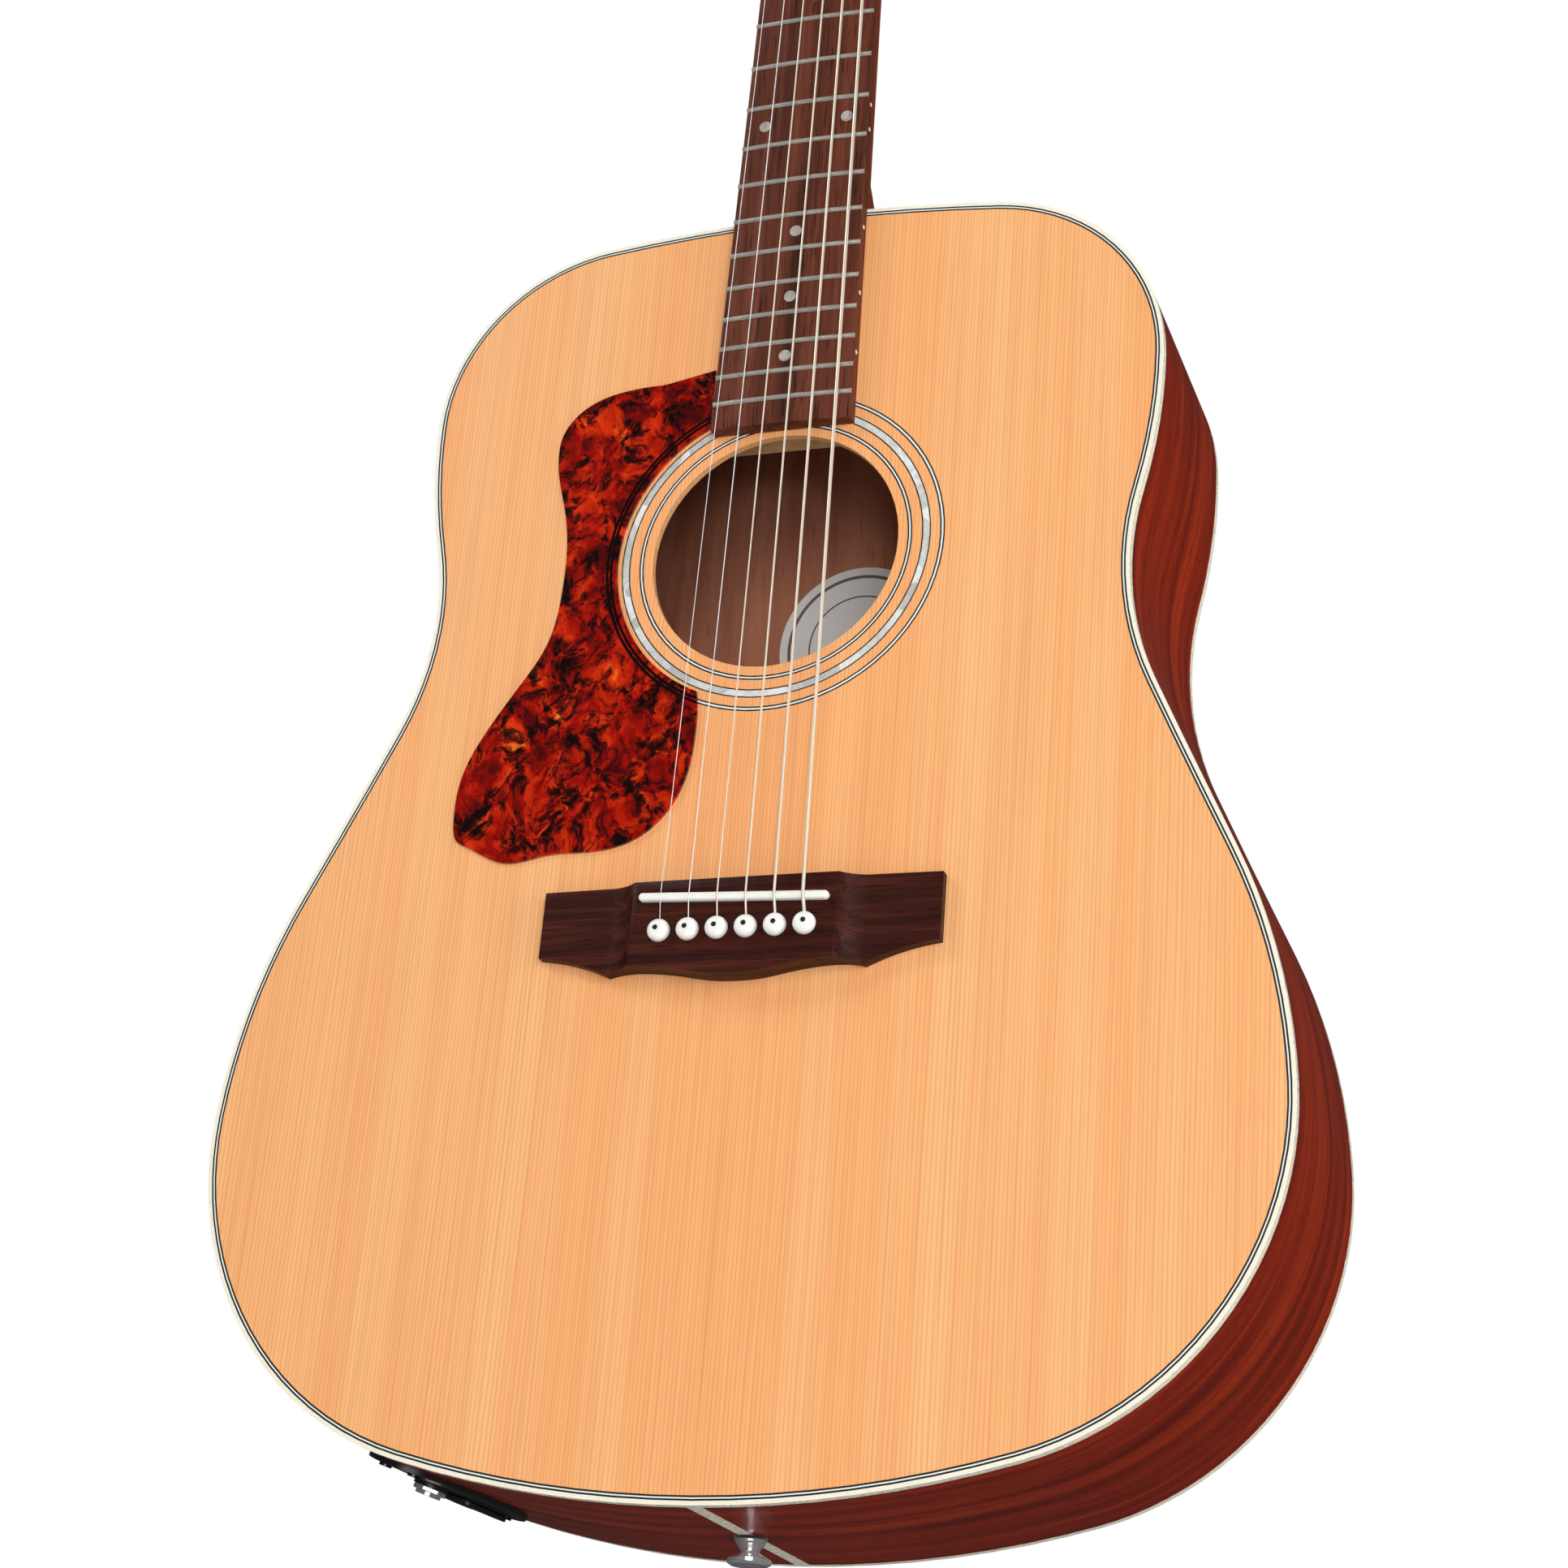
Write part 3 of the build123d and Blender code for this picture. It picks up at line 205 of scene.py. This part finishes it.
def noise(tree, vector, scale, detail=2, distortion=0.0, roughness=0.5):
    values = {"Scale": scale, "Detail": detail, "Distortion": distortion, "Roughness": roughness}
    return addNode(tree, "TexNoise", {"Vector": vector}, values).outputs["Fac"]

def mixColor(tree, factor, first, second):
    node = addNode(tree, "Mix", data_type="RGBA")
    for socket, value in ((0, factor), (6, first), (7, second)):  # the sockets that mix colours
        if hasattr(value, "node"):
            tree.links.new(value, node.inputs[socket])
        else:
            node.inputs[socket].default_value = value if socket == 0 else (*value, 1)
    return node.outputs[2]

def bump(tree, shader, height, distance, strength):
    values = {"Distance": distance, "Strength": strength}
    feed(tree, shader, "Normal", addNode(tree, "Bump", {"Height": height}, values).outputs["Normal"])

def reachFrom(tree, centre):
    # how far a point is from a centre, seen from the front
    flat = addNode(tree, "VectorMath", {0: place(tree)}, {1: (1, 0, 1)}, operation="MULTIPLY")
    away = addNode(tree, "VectorMath", {0: flat.outputs[0]}, {1: centre}, operation="DISTANCE")
    return away.outputs["Value"]

bodyCentre = (0, 0, 0.25)

def outsideOnly(tree):
    # 1 on the shell's outer faces, 0 on the faces that look into the body
    away = addNode(tree, "VectorMath", {0: place(tree)}, {1: bodyCentre}, operation="SUBTRACT")
    links = {0: place(tree, "Normal"), 1: away.outputs[0]}
    facing = addNode(tree, "VectorMath", links, operation="DOT_PRODUCT")
    return calc(tree, "GREATER_THAN", facing.outputs["Value"], 0.0)

def rawInside(tree, shader, outside, color, raw, coat):
    # bare wood on the inner faces, under no varnish
    feed(tree, shader, "Base Color", mixColor(tree, outside, raw, color))
    feed(tree, shader, "Coat Weight", times(tree, outside, coat))

spruce = {
    "light": (1.0, 0.53, 0.225),
    "warm": (0.98, 0.455, 0.180),
    "line": (0.62, 0.185, 0.055),
    "raw": (0.72, 0.42, 0.21),
    "rawAmount": 0.35,
    "grainPitch": 0.0015,
    "grainAmount": 0.42,
    "drift": 0.010,  # how far the year lines wander
    "driftScale": (14, 3, 1.1),
    "driftNoise": 1.6,
    "fibreScale": (900, 60, 9),
    "fibreAmount": 0.26,
    "bandScale": (60, 8, 0.9),
    "fibreDepth": 0.00006,
    "roughness": 0.34,
    "coat": 0.25,
    "coatRoughness": 0.12,
}

def makeSpruce():
    # straight vertical year lines, mirrored about the centre seam
    mat, tree, shader = startMaterial("sprucePolished", spruce["light"], spruce["roughness"],
                                      Coat_Roughness=spruce["coatRoughness"])
    split = addNode(tree, "SeparateXYZ", {"Vector": place(tree)}).outputs
    across = calc(tree, "ABSOLUTE", split["X"])
    joined = addNode(tree, "CombineXYZ", {"X": across, "Y": split["Y"], "Z": split["Z"]}).outputs[0]
    wander = noise(tree, scaled(tree, joined, spruce["driftScale"]), spruce["driftNoise"], 3)
    drift = times(tree, wander, spruce["drift"])
    phase = times(tree, calc(tree, "ADD", across, drift), tau / spruce["grainPitch"])
    line = ramp(tree, calc(tree, "SINE", phase), [
        (0.0, grey(0)), (0.5, grey(0.05)), (0.93, grey(0.6)), (1.0, grey(1)),
    ])
    fibres = noise(tree, scaled(tree, joined, spruce["fibreScale"]), 1.0, 3, roughness=0.6)
    bands = noise(tree, scaled(tree, joined, spruce["bandScale"]), 1.0, 3)
    color = mixColor(tree, fade(tree, bands, 0.35, 0.65), spruce["light"], spruce["warm"])
    color = mixColor(tree, times(tree, line, spruce["grainAmount"]), color, spruce["line"])
    streaks = times(tree, fade(tree, fibres, 0.42, 0.72), spruce["fibreAmount"])
    color = mixColor(tree, streaks, color, spruce["line"])
    raw = mixColor(tree, spruce["rawAmount"], color, spruce["raw"])
    rawInside(tree, shader, outsideOnly(tree), color, raw, spruce["coat"])
    bump(tree, shader, fibres, spruce["fibreDepth"], 0.2)
    return mat

mahogany = {
    "deep": (0.085, 0.0070, 0.0030),
    "mid": (0.215, 0.015, 0.003),
    "bright": (0.38, 0.034, 0.006),
    "pore": (0.022, 0.003, 0.002),
    "raw": (0.50, 0.205, 0.125),
    "rawDeep": (0.32, 0.115, 0.065),
    "roughness": 0.3,
    "coat": 0.2,
}
neckWood = {
    "deep": (0.13, 0.022, 0.009),
    "mid": (0.20, 0.038, 0.014),
    "bright": (0.28, 0.06, 0.022),
    "pore": (0.05, 0.012, 0.006),
    "roughness": 0.45,
    "coat": 0.1,
}
ribbon = {
    "edgeAcross": 3.5,  # on faces that look sideways
    "flatAcross": 55.0,  # on the back and other flat faces
    "deep": 60.0,
    "along": 2.6,
    "flatLimit": 0.7,
    "noise": 1.3,
    "poreScale": (900, 900, 38),
    "poreAmount": 0.7,
    "poreDepth": 0.00004,
    "polish": 0.1,
}

def makeMahogany(name, colors):
    # long ribbon figure along Z, with dark pores, and bare inside where the colours say so
    mat, tree, shader = startMaterial(name, colors["mid"], colors["roughness"],
                                      Coat_Roughness=ribbon["polish"], Specular_IOR_Level=ribbon["polish"])
    normal = addNode(tree, "SeparateXYZ", {"Vector": place(tree, "Normal")}).outputs
    flat = calc(tree, "GREATER_THAN", calc(tree, "ABSOLUTE", normal["Y"]), ribbon["flatLimit"])
    limits = {"To Min": ribbon["edgeAcross"], "To Max": ribbon["flatAcross"]}
    across = addNode(tree, "MapRange", {"Value": flat}, limits).outputs[0]
    split = addNode(tree, "SeparateXYZ", {"Vector": place(tree)}).outputs
    figure = addNode(tree, "CombineXYZ", {
        "X": times(tree, calc(tree, "ABSOLUTE", split["X"]), across),
        "Y": times(tree, split["Y"], ribbon["deep"]),
        "Z": times(tree, split["Z"], ribbon["along"]),
    }).outputs[0]
    ribbons = noise(tree, figure, ribbon["noise"], 4, 0.5, 0.6)
    color = ramp(tree, ribbons, [(0.3, colors["deep"]), (0.5, colors["mid"]), (0.72, colors["bright"])])
    pores = noise(tree, scaled(tree, place(tree), ribbon["poreScale"]), 1.0, 2)
    poreAmount = fade(tree, pores, 0.60, 0.72, ribbon["poreAmount"])
    color = mixColor(tree, poreAmount, color, colors["pore"])
    if "raw" in colors:
        bare = mixColor(tree, fade(tree, ribbons, 0.3, 0.7), colors["rawDeep"], colors["raw"])
        bare = mixColor(tree, poreAmount, bare, colors["rawDeep"])
        rawInside(tree, shader, outsideOnly(tree), color, bare, colors["coat"])
    else:
        feed(tree, shader, "Base Color", color)
        shader.inputs["Coat Weight"].default_value = colors["coat"]
    bump(tree, shader, pores, ribbon["poreDepth"], 0.2)
    return mat

braceWood = {
    "deep": (0.60, 0.32, 0.15),
    "mid": (0.72, 0.42, 0.21),
    "bright": (0.82, 0.52, 0.29),
    "pore": (0.42, 0.20, 0.09),
    "roughness": 0.75,
    "streakScale": (190, 190, 5),
    "poreScale": (1500, 1500, 60),
}
boardWood = {
    "deep": (0.055, 0.016, 0.009),
    "mid": (0.125, 0.032, 0.016),
    "bright": (0.200, 0.062, 0.034),
    "pore": (0.020, 0.007, 0.004),
    "roughness": 0.5,
    "streakScale": (190, 190, 5),
    "poreScale": (1500, 1500, 60),
}
bridgeWood = {
    "deep": (0.018, 0.004, 0.003),
    "mid": (0.042, 0.008, 0.005),
    "bright": (0.095, 0.020, 0.011),
    "pore": (0.006, 0.002, 0.001),
    "roughness": 0.42,
    "streakScale": (5, 260, 260),  # the bridge's grain runs across the body
    "poreScale": (60, 1500, 1500),
}

def makeOpenWood(name, colors):
    # unvarnished or oiled wood, with streaks and open pores
    mat, tree, shader = startMaterial(name, colors["mid"], colors["roughness"], Specular_IOR_Level=0.12)
    streaks = noise(tree, scaled(tree, place(tree), colors["streakScale"]), 1.0, 5, 0.4, 0.6)
    base = ramp(tree, streaks, [(0.3, colors["deep"]), (0.5, colors["mid"]), (0.7, colors["bright"])])
    pores = noise(tree, scaled(tree, place(tree), colors["poreScale"]), 1.0, 2)
    color = mixColor(tree, fade(tree, pores, 0.58, 0.68, 0.85), base, colors["pore"])
    feed(tree, shader, "Base Color", color)
    bump(tree, shader, pores, 0.0001, 0.35)
    return mat

plastics = {
    "cream_binding": {
        "name": "creamBinding", "roughness": 0.28, "scale": 40, "coat": 0.4,
        "color": (0.96, 0.91, 0.76), "second": (0.93, 0.87, 0.70),
    },
    "black_line": {
        "name": "blackLine", "roughness": 0.6, "scale": 60,
        "color": (0.003, 0.003, 0.003), "second": (0.006, 0.005, 0.005),
    },
    "white_line": {
        "name": "whiteLine", "roughness": 0.3, "scale": 60, "coat": 0.4,
        "color": (0.85, 0.88, 0.84), "second": (0.78, 0.82, 0.78),
    },
    "bone": {
        "name": "polishedBone", "roughness": 0.3, "scale": 120, "coat": 0.2,
        "color": (0.97, 0.96, 0.92), "second": (0.93, 0.91, 0.85),
    },
    "black_plastic": {
        "name": "blackPlastic", "roughness": 0.35, "scale": 300, "depth": 0.00008,
        "color": (0.010, 0.010, 0.011), "second": (0.018, 0.017, 0.017),
    },
}

def makePlastic(name, color, second, roughness, scale, coat=0.0, depth=0.00003):
    # moulded or polished plastic, with slight mottling
    mat, tree, shader = startMaterial(name, color, roughness, Coat_Weight=coat, Coat_Roughness=0.08)
    mottle = noise(tree, place(tree), scale, 3)
    feed(tree, shader, "Base Color", mixColor(tree, mottle, color, second))
    fine = noise(tree, place(tree), scale * 12, 2)
    rough = ramp(tree, fine, [(0.3, grey(roughness * 0.8)), (0.7, grey(roughness * 1.2))])
    feed(tree, shader, "Roughness", rough)
    bump(tree, shader, fine, depth, 0.2)
    return mat

metals = {
    "chrome": {
        "name": "chrome", "color": (0.80, 0.81, 0.82), "roughness": 0.1,
        "brush": (40, 40, 40), "metallic": 0.75,
    },
    "nickel_silver": {
        "name": "fretWire", "color": (0.90, 0.88, 0.80), "roughness": 0.22,
        "brush": (30, 900, 900), "metallic": 0.7,
    },
    "steel_wire": {
        "name": "plainSteel", "color": (0.96, 0.96, 0.96), "roughness": 0.3,
        "brush": (900, 900, 30), "metallic": 0.4,
    },
    "dark_steel": {
        "name": "darkSteel", "color": (0.10, 0.10, 0.11), "roughness": 0.32,
        "brush": (300, 300, 300), "metallic": 1.0,
    },
}

def makeMetal(name, color, roughness, brush, metallic):
    # worn polish, with faint marks that run one way
    mat, tree, shader = startMaterial(name, color, roughness, Metallic=metallic)
    marks = noise(tree, scaled(tree, place(tree), brush), 1.0, 3)
    rough = ramp(tree, marks, [(0.3, grey(roughness * 0.7)), (0.7, grey(roughness * 1.5))])
    feed(tree, shader, "Roughness", rough)
    smudge = noise(tree, place(tree), 60, 2)
    feed(tree, shader, "Base Color", mixColor(tree, smudge, color, dimmed(color, 0.86)))
    return mat

tortoise = {
    "black": (0.006, 0.001, 0.001),
    "maroon": (0.070, 0.002, 0.0015),
    "red": (0.33, 0.004, 0.001),
    "orange": (0.72, 0.036, 0.003),
    "amber": (1.0, 0.30, 0.020),
    "cloudScale": 85,
    "speckScale": 270,
    "largeScale": 76.5,
    "roughness": 0.16,
    "coat": 0.3,
    "coatRoughness": 0.04,
    "stretch": (1, 0.2, 0.85),
    "lean": 35,  # degrees
    "curl": 0.022,
    "curlScale": 60,
    "curlOffset": (3, 1, 2),
    "ringCentre": (0, 0, 0.357),  # the rosette's outer lines show through the sheet
    "ringRadii": (0.0656, 0.0665, 0.0671, 0.0680),
    "ringReach": 0.1,
}

def curled(tree, vector):
    # the same vector, pushed about by noise, so that clouds curl
    amount, scale = tortoise["curl"], tortoise["curlScale"]
    offset = addNode(tree, "VectorMath", {0: vector}, {1: tortoise["curlOffset"]}, operation="ADD")
    first = noise(tree, vector, scale, 3)
    second = noise(tree, offset.outputs[0], scale, 3)
    push = addNode(tree, "CombineXYZ", {"X": first, "Z": second}).outputs[0]
    step = addNode(tree, "VectorMath", {0: push}, {1: (amount, 0, amount)}, operation="MULTIPLY")
    return addNode(tree, "VectorMath", {0: vector, 1: step.outputs[0]}, operation="ADD").outputs[0]

def makeTortoise():
    # celluloid: red and amber clouds under black and maroon flecks
    mat, tree, shader = startMaterial("tortoiseshell", tortoise["maroon"], tortoise["roughness"],
                                      Coat_Weight=tortoise["coat"],
                                      Coat_Roughness=tortoise["coatRoughness"])
    sheet = scaled(tree, place(tree), tortoise["stretch"], (0, radians(tortoise["lean"]), 0))
    swirls = curled(tree, sheet)
    color = ramp(tree, noise(tree, swirls, tortoise["cloudScale"], 5, 0.2, 0.6), [
        (0.34, tortoise["maroon"]), (0.47, tortoise["red"]),
        (0.63, tortoise["orange"]), (0.76, tortoise["amber"]),
    ])
    flecks = times(tree, noise(tree, swirls, tortoise["speckScale"], 6, 0.3, 0.7), 0.6)
    large = times(tree, noise(tree, sheet, tortoise["largeScale"], 3, 0.2), 0.4)
    cover = calc(tree, "ADD", flecks, large)
    color = mixColor(tree, fade(tree, cover, 0.47, 0.53, 0.9), color, tortoise["maroon"])
    color = mixColor(tree, fade(tree, cover, 0.52, 0.58), color, tortoise["black"])
    reach = times(tree, reachFrom(tree, tortoise["ringCentre"]), 1 / tortoise["ringReach"])
    first, second, third, fourth = (radius / tortoise["ringReach"] for radius in tortoise["ringRadii"])
    lines = ramp(tree, reach, [
        (0, grey(0)), (first, grey(1)), (second, grey(0)), (third, grey(1)), (fourth, grey(0)),
    ], "CONSTANT")
    feed(tree, shader, "Base Color", mixColor(tree, lines, color, tortoise["black"]))
    return mat

shells = {
    "pearl": {
        "name": "pearlShell", "scale": 110,
        "tones": [(0.50, 0.50, 0.48), (0.66, 0.67, 0.64), (0.86, 0.86, 0.83)],
    },
    "dots": {
        "name": "dotShell", "scale": 400,
        "tones": [(0.34, 0.31, 0.28), (0.42, 0.39, 0.35), (0.50, 0.47, 0.43)],
    },
}

def makeShell(name, tones, scale):
    # short cut pieces, each turned to catch the light its own way
    mat, tree, shader = startMaterial(name, tones[1], 0.2, Coat_Weight=0.3)
    pieces = addNode(tree, "TexVoronoi", {"Vector": place(tree)}, {"Scale": scale})
    tone = addNode(tree, "SeparateColor", {"Color": pieces.outputs["Color"]}).outputs[0]
    flow = noise(tree, place(tree), scale * 2.5, 3, 0.8)
    total = calc(tree, "ADD", times(tree, tone, 0.45), times(tree, flow, 0.55))
    color = ramp(tree, total, [(0.3, tones[0]), (0.5, tones[1]), (0.7, tones[2])])
    feed(tree, shader, "Base Color", color)
    return mat

label = {
    "centre": (0, 0, 0.3662),
    "paper": (0.86, 0.84, 0.80),
    "ink": (0.16, 0.13, 0.12),
    "innerRing": (0.62, 0.64),  # parts of the label's radius
    "outerRing": (0.86, 0.90),
}

def makeLabelPaper():
    # pale paper with two plain printed rings
    mat, tree, shader = startMaterial("labelPaper", label["paper"], 0.85)
    low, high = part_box("label")
    reach = times(tree, reachFrom(tree, label["centre"]), 2 / (high[0] - low[0]))
    inner, outer = label["innerRing"], label["outerRing"]
    lines = ramp(tree, reach, [
        (0, grey(0)), (inner[0], grey(1)), (inner[1], grey(0)), (outer[0], grey(1)), (outer[1], grey(0)),
    ], "CONSTANT")
    fibres = noise(tree, place(tree), 900, 4)
    paper = mixColor(tree, fibres, label["paper"], dimmed(label["paper"], 0.9))
    feed(tree, shader, "Base Color", mixColor(tree, lines, paper, label["ink"]))
    return mat

winding = {"color": (0.96, 0.86, 0.70), "turn": 0.0006, "roughness": 0.32, "metallic": 0.5}

def makeWinding():
    # fine bronze wire wound round the string, with painted shade in the grooves between its turns
    color = winding["color"]
    mat, tree, shader = startMaterial("windingBronze", color, winding["roughness"],
                                      Metallic=winding["metallic"])
    split = addNode(tree, "SeparateXYZ", {"Vector": place(tree)})
    turns = calc(tree, "SINE", times(tree, split.outputs["Z"], tau / winding["turn"]))
    # painted shade: the wire's colour dims towards half in the grooves between turns
    grooveShade = ramp(tree, turns, [(0.0, grey(0.25)), (0.4, grey(0.0))])
    feed(tree, shader, "Base Color", mixColor(tree, grooveShade, color, dimmed(color, 0.5)))
    bump(tree, shader, turns, 0.00003, 0.2)
    return mat

felt = {"dark": 0.006, "light": 0.03, "fluffScale": 2500, "fluffDepth": 0.0003}

def makeFelt():
    # soft black cloth, with short loose hairs
    mat, tree, shader = startMaterial("blackFelt", grey(felt["dark"]), 0.95, Sheen_Weight=0.4)
    fluff = noise(tree, place(tree), felt["fluffScale"], 4)
    color = ramp(tree, fluff, [(0.3, grey(felt["dark"])), (0.7, grey(felt["light"]))])
    feed(tree, shader, "Base Color", color)
    bump(tree, shader, fluff, felt["fluffDepth"], 0.8)
    return mat

finishes = {}
ownFinish = {"bridge": "bridgeWood", "position_dots": "dots"}  # instead of their slot's finish

def makeMaterials():
    finishes["spruce"] = makeSpruce()
    finishes["mahogany"] = makeMahogany("mahoganyPolished", mahogany)
    finishes["neck_wood"] = makeMahogany("neckMahogany", neckWood)
    finishes["inner_wood"] = makeOpenWood("braceSpruce", braceWood)
    finishes["rosewood"] = makeOpenWood("fingerboardWood", boardWood)
    finishes["bridgeWood"] = makeOpenWood("bridgeWood", bridgeWood)
    finishes["paper"] = makeLabelPaper()
    finishes["tortoiseshell"] = makeTortoise()
    finishes["bronze_wire"] = makeWinding()
    finishes["felt"] = makeFelt()
    for maker, table in ((makePlastic, plastics), (makeMetal, metals), (makeShell, shells)):
        for slot, values in table.items():
            finishes[slot] = maker(**values)

def dressNodes():
    # each CAD node takes the finish that its slot names in the record, or its own
    for node, slot in slotOf.items():
        finish = finishes[ownFinish.get(node, slot)]
        if not nodes[node].material_slots:
            nodes[node].data.materials.append(finish)
        for materialSlot in nodes[node].material_slots:
            materialSlot.material = finish

def placePiece(mesh, name, body):
    piece = bpy.data.objects.new(name, mesh)
    bpy.context.scene.collection.objects.link(piece)
    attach(piece, body)
    return piece

def finishPiece(bm, name, slot):
    # the shaped mesh becomes a piece that stays with the guitar
    bmesh.ops.recalc_face_normals(bm, faces=bm.faces)
    mesh = bpy.data.meshes.new(name)
    bm.to_mesh(mesh)
    bm.free()
    mesh.materials.append(finishes[slot])
    return placePiece(mesh, name, "guitar")

def smoothFaces(mesh, limit):
    for face in mesh.polygons:
        face.use_smooth = True
    mesh.set_sharp_from_angle(angle=radians(limit))

soft = {  # node: bevel width, bevel segments
    "bridge": (0.0007, 3),
    "saddle": (0.0005, 3),
    "nut": (0.0005, 3),
    "fingerboard": (0.0006, 3),
    "headstock_veneer": (0.0005, 2),
    "truss_rod_cover": (0.0004, 2),
    "jack_plate": (0.0003, 2),
    "jack_nut": (0.0004, 2),
    "battery_drawer": (0.0004, 2),
    "tuner_housings": (0.0004, 2),
    "tuner_bushings": (0.0004, 2),
}
mergeGap = 0.000002
flatAngle = 1  # degrees
sharpAngle = 40

def softenNodes():
    # merged copies of CAD nodes, with their hard edges eased
    for node, (width, segments) in soft.items():
        bm = bmesh.new()
        bm.from_mesh(nodes[node].data)
        bmesh.ops.remove_doubles(bm, verts=bm.verts, dist=mergeGap)
        bmesh.ops.dissolve_limit(bm, angle_limit=radians(flatAngle), verts=bm.verts, edges=bm.edges)
        mesh = bpy.data.meshes.new(node + "_soft")
        bm.to_mesh(mesh)
        bm.free()
        mesh.materials.append(nodes[node].material_slots[0].material)
        smoothFaces(mesh, sharpAngle)
        piece = placePiece(mesh, node + "_soft", bodyOf[node])
        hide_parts(node)
        ease = piece.modifiers.new("ease", "BEVEL")
        ease.width = width
        ease.segments = segments
        ease.limit_method = "ANGLE"
        ease.angle_limit = radians(sharpAngle)

neckPlan = {
    "scaleLength": 0.6477,
    "nutHalfWidth": 0.0215,
    "boardRadius": 0.4064,
}
fretPlan = {
    "count": 20,
    "crown": 0.0009,  # above the board
    "width": 0.0021,
    "sunk": 0.0003,
    "setIn": 0.0002,  # short of the board's edge
    "sides": 14,
    "steps": 8,
    "sharpAngle": 60,
}

def fretLine(number):
    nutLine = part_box("fingerboard")[1][2]
    return nutLine - neckPlan["scaleLength"] * (1 - 2 ** (-number / 12))

def boardEdge(z):
    # half the board's width at a height up the neck
    low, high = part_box("fingerboard")
    wide, narrow = high[0], neckPlan["nutHalfWidth"]
    return narrow + (wide - narrow) * (high[2] - z) / (high[2] - low[2])

def makeFrets():
    # crowned wires, swept round the board's own radius
    bm = bmesh.new()
    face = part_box("fingerboard")[0][1]
    for number in range(1, fretPlan["count"] + 1):
        z = fretLine(number)
        centre = (0, face + neckPlan["boardRadius"], z)
        reach = asin((boardEdge(z) - fretPlan["setIn"]) / neckPlan["boardRadius"])
        ring = bmesh.ops.create_circle(bm, segments=fretPlan["sides"], radius=1)["verts"]
        for vert in ring:
            across, up = vert.co.x * fretPlan["width"] / 2, vert.co.y
            lift = fretPlan["crown"] if up > 0 else fretPlan["sunk"]
            vert.co = (0, face - lift * up, z + across)
        bmesh.ops.rotate(bm, verts=ring, cent=centre, matrix=Matrix.Rotation(-reach, 3, "Z"))
        edges = list(dict.fromkeys(edge for vert in ring for edge in vert.link_edges))
        swept = bmesh.ops.spin(bm, geom=ring + edges, cent=centre, axis=(0, 0, 1), angle=2 * reach,
                               steps=fretPlan["steps"], use_duplicate=False)
        lastRing = [item for item in swept["geom_last"] if isinstance(item, bmesh.types.BMEdge)]
        for loop in (edges, lastRing):
            bmesh.ops.contextual_create(bm, geom=loop)
    piece = finishPiece(bm, "fretWires", "nickel_silver")
    smoothFaces(piece.data, fretPlan["sharpAngle"])
    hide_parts("frets")

def addDisc(bm, radius, thickness, sides, axis, centre):
    disc = bmesh.ops.create_cone(bm, cap_ends=True, segments=sides, radius1=radius, radius2=radius,
                                 depth=thickness)["verts"]
    bmesh.ops.rotate(bm, verts=disc, cent=(0, 0, 0), matrix=Matrix.Rotation(radians(90), 3, axis))
    bmesh.ops.translate(bm, verts=disc, vec=centre)

sideDots = {
    "radius": 0.0009,
    "sides": 16,
    "spread": 0.006,  # half the gap between the octave's two dots
    "proud": 0.00015,
    "down": 0.0032,
    "frets": (3, 5, 7, 9, 12, 15, 17, 19),
    "octave": 12,
}

def makeSideDots():
    bm = bmesh.new()
    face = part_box("fingerboard")[0][1]
    for number in sideDots["frets"]:
        middle = (fretLine(number) + fretLine(number - 1)) / 2
        spread = sideDots["spread"]
        for z in [middle - spread, middle + spread] if number == sideDots["octave"] else [middle]:
            addDisc(bm, sideDots["radius"], 2 * sideDots["proud"], sideDots["sides"], "Y",
                    (boardEdge(z), face + sideDots["down"], z))
    finishPiece(bm, "sideDots", "white_line")

pinDots = {
    "radius": 0.00095,
    "sides": 20,
    "thickness": 0.0006,
    "proud": 0.00012,
    "headRadius": 0.0038,
    "count": 6,
}

def makePinDots():
    # a small black dot on the crown of each bridge pin
    bm = bmesh.new()
    low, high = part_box("bridge_pins")
    first, last = low[0] + pinDots["headRadius"], high[0] - pinDots["headRadius"]
    row = high[2] - pinDots["headRadius"]
    y = low[1] + pinDots["thickness"] / 2 - pinDots["proud"]
    for number in range(pinDots["count"]):
        x = first + (last - first) * number / (pinDots["count"] - 1)
        addDisc(bm, pinDots["radius"], pinDots["thickness"], pinDots["sides"], "X", (x, y, row))
    finishPiece(bm, "pinDots", "black_line")

makeCamera()
makeFloor()
makeBackdrop()
makeLamps()
print("camera and studio ready")
makeMaterials()
dressNodes()
print("finishes made:", len(finishes))
makeFrets()
makeSideDots()
makePinDots()
print("neck and bridge details made")
softenNodes()
print("edges eased:", len(soft))
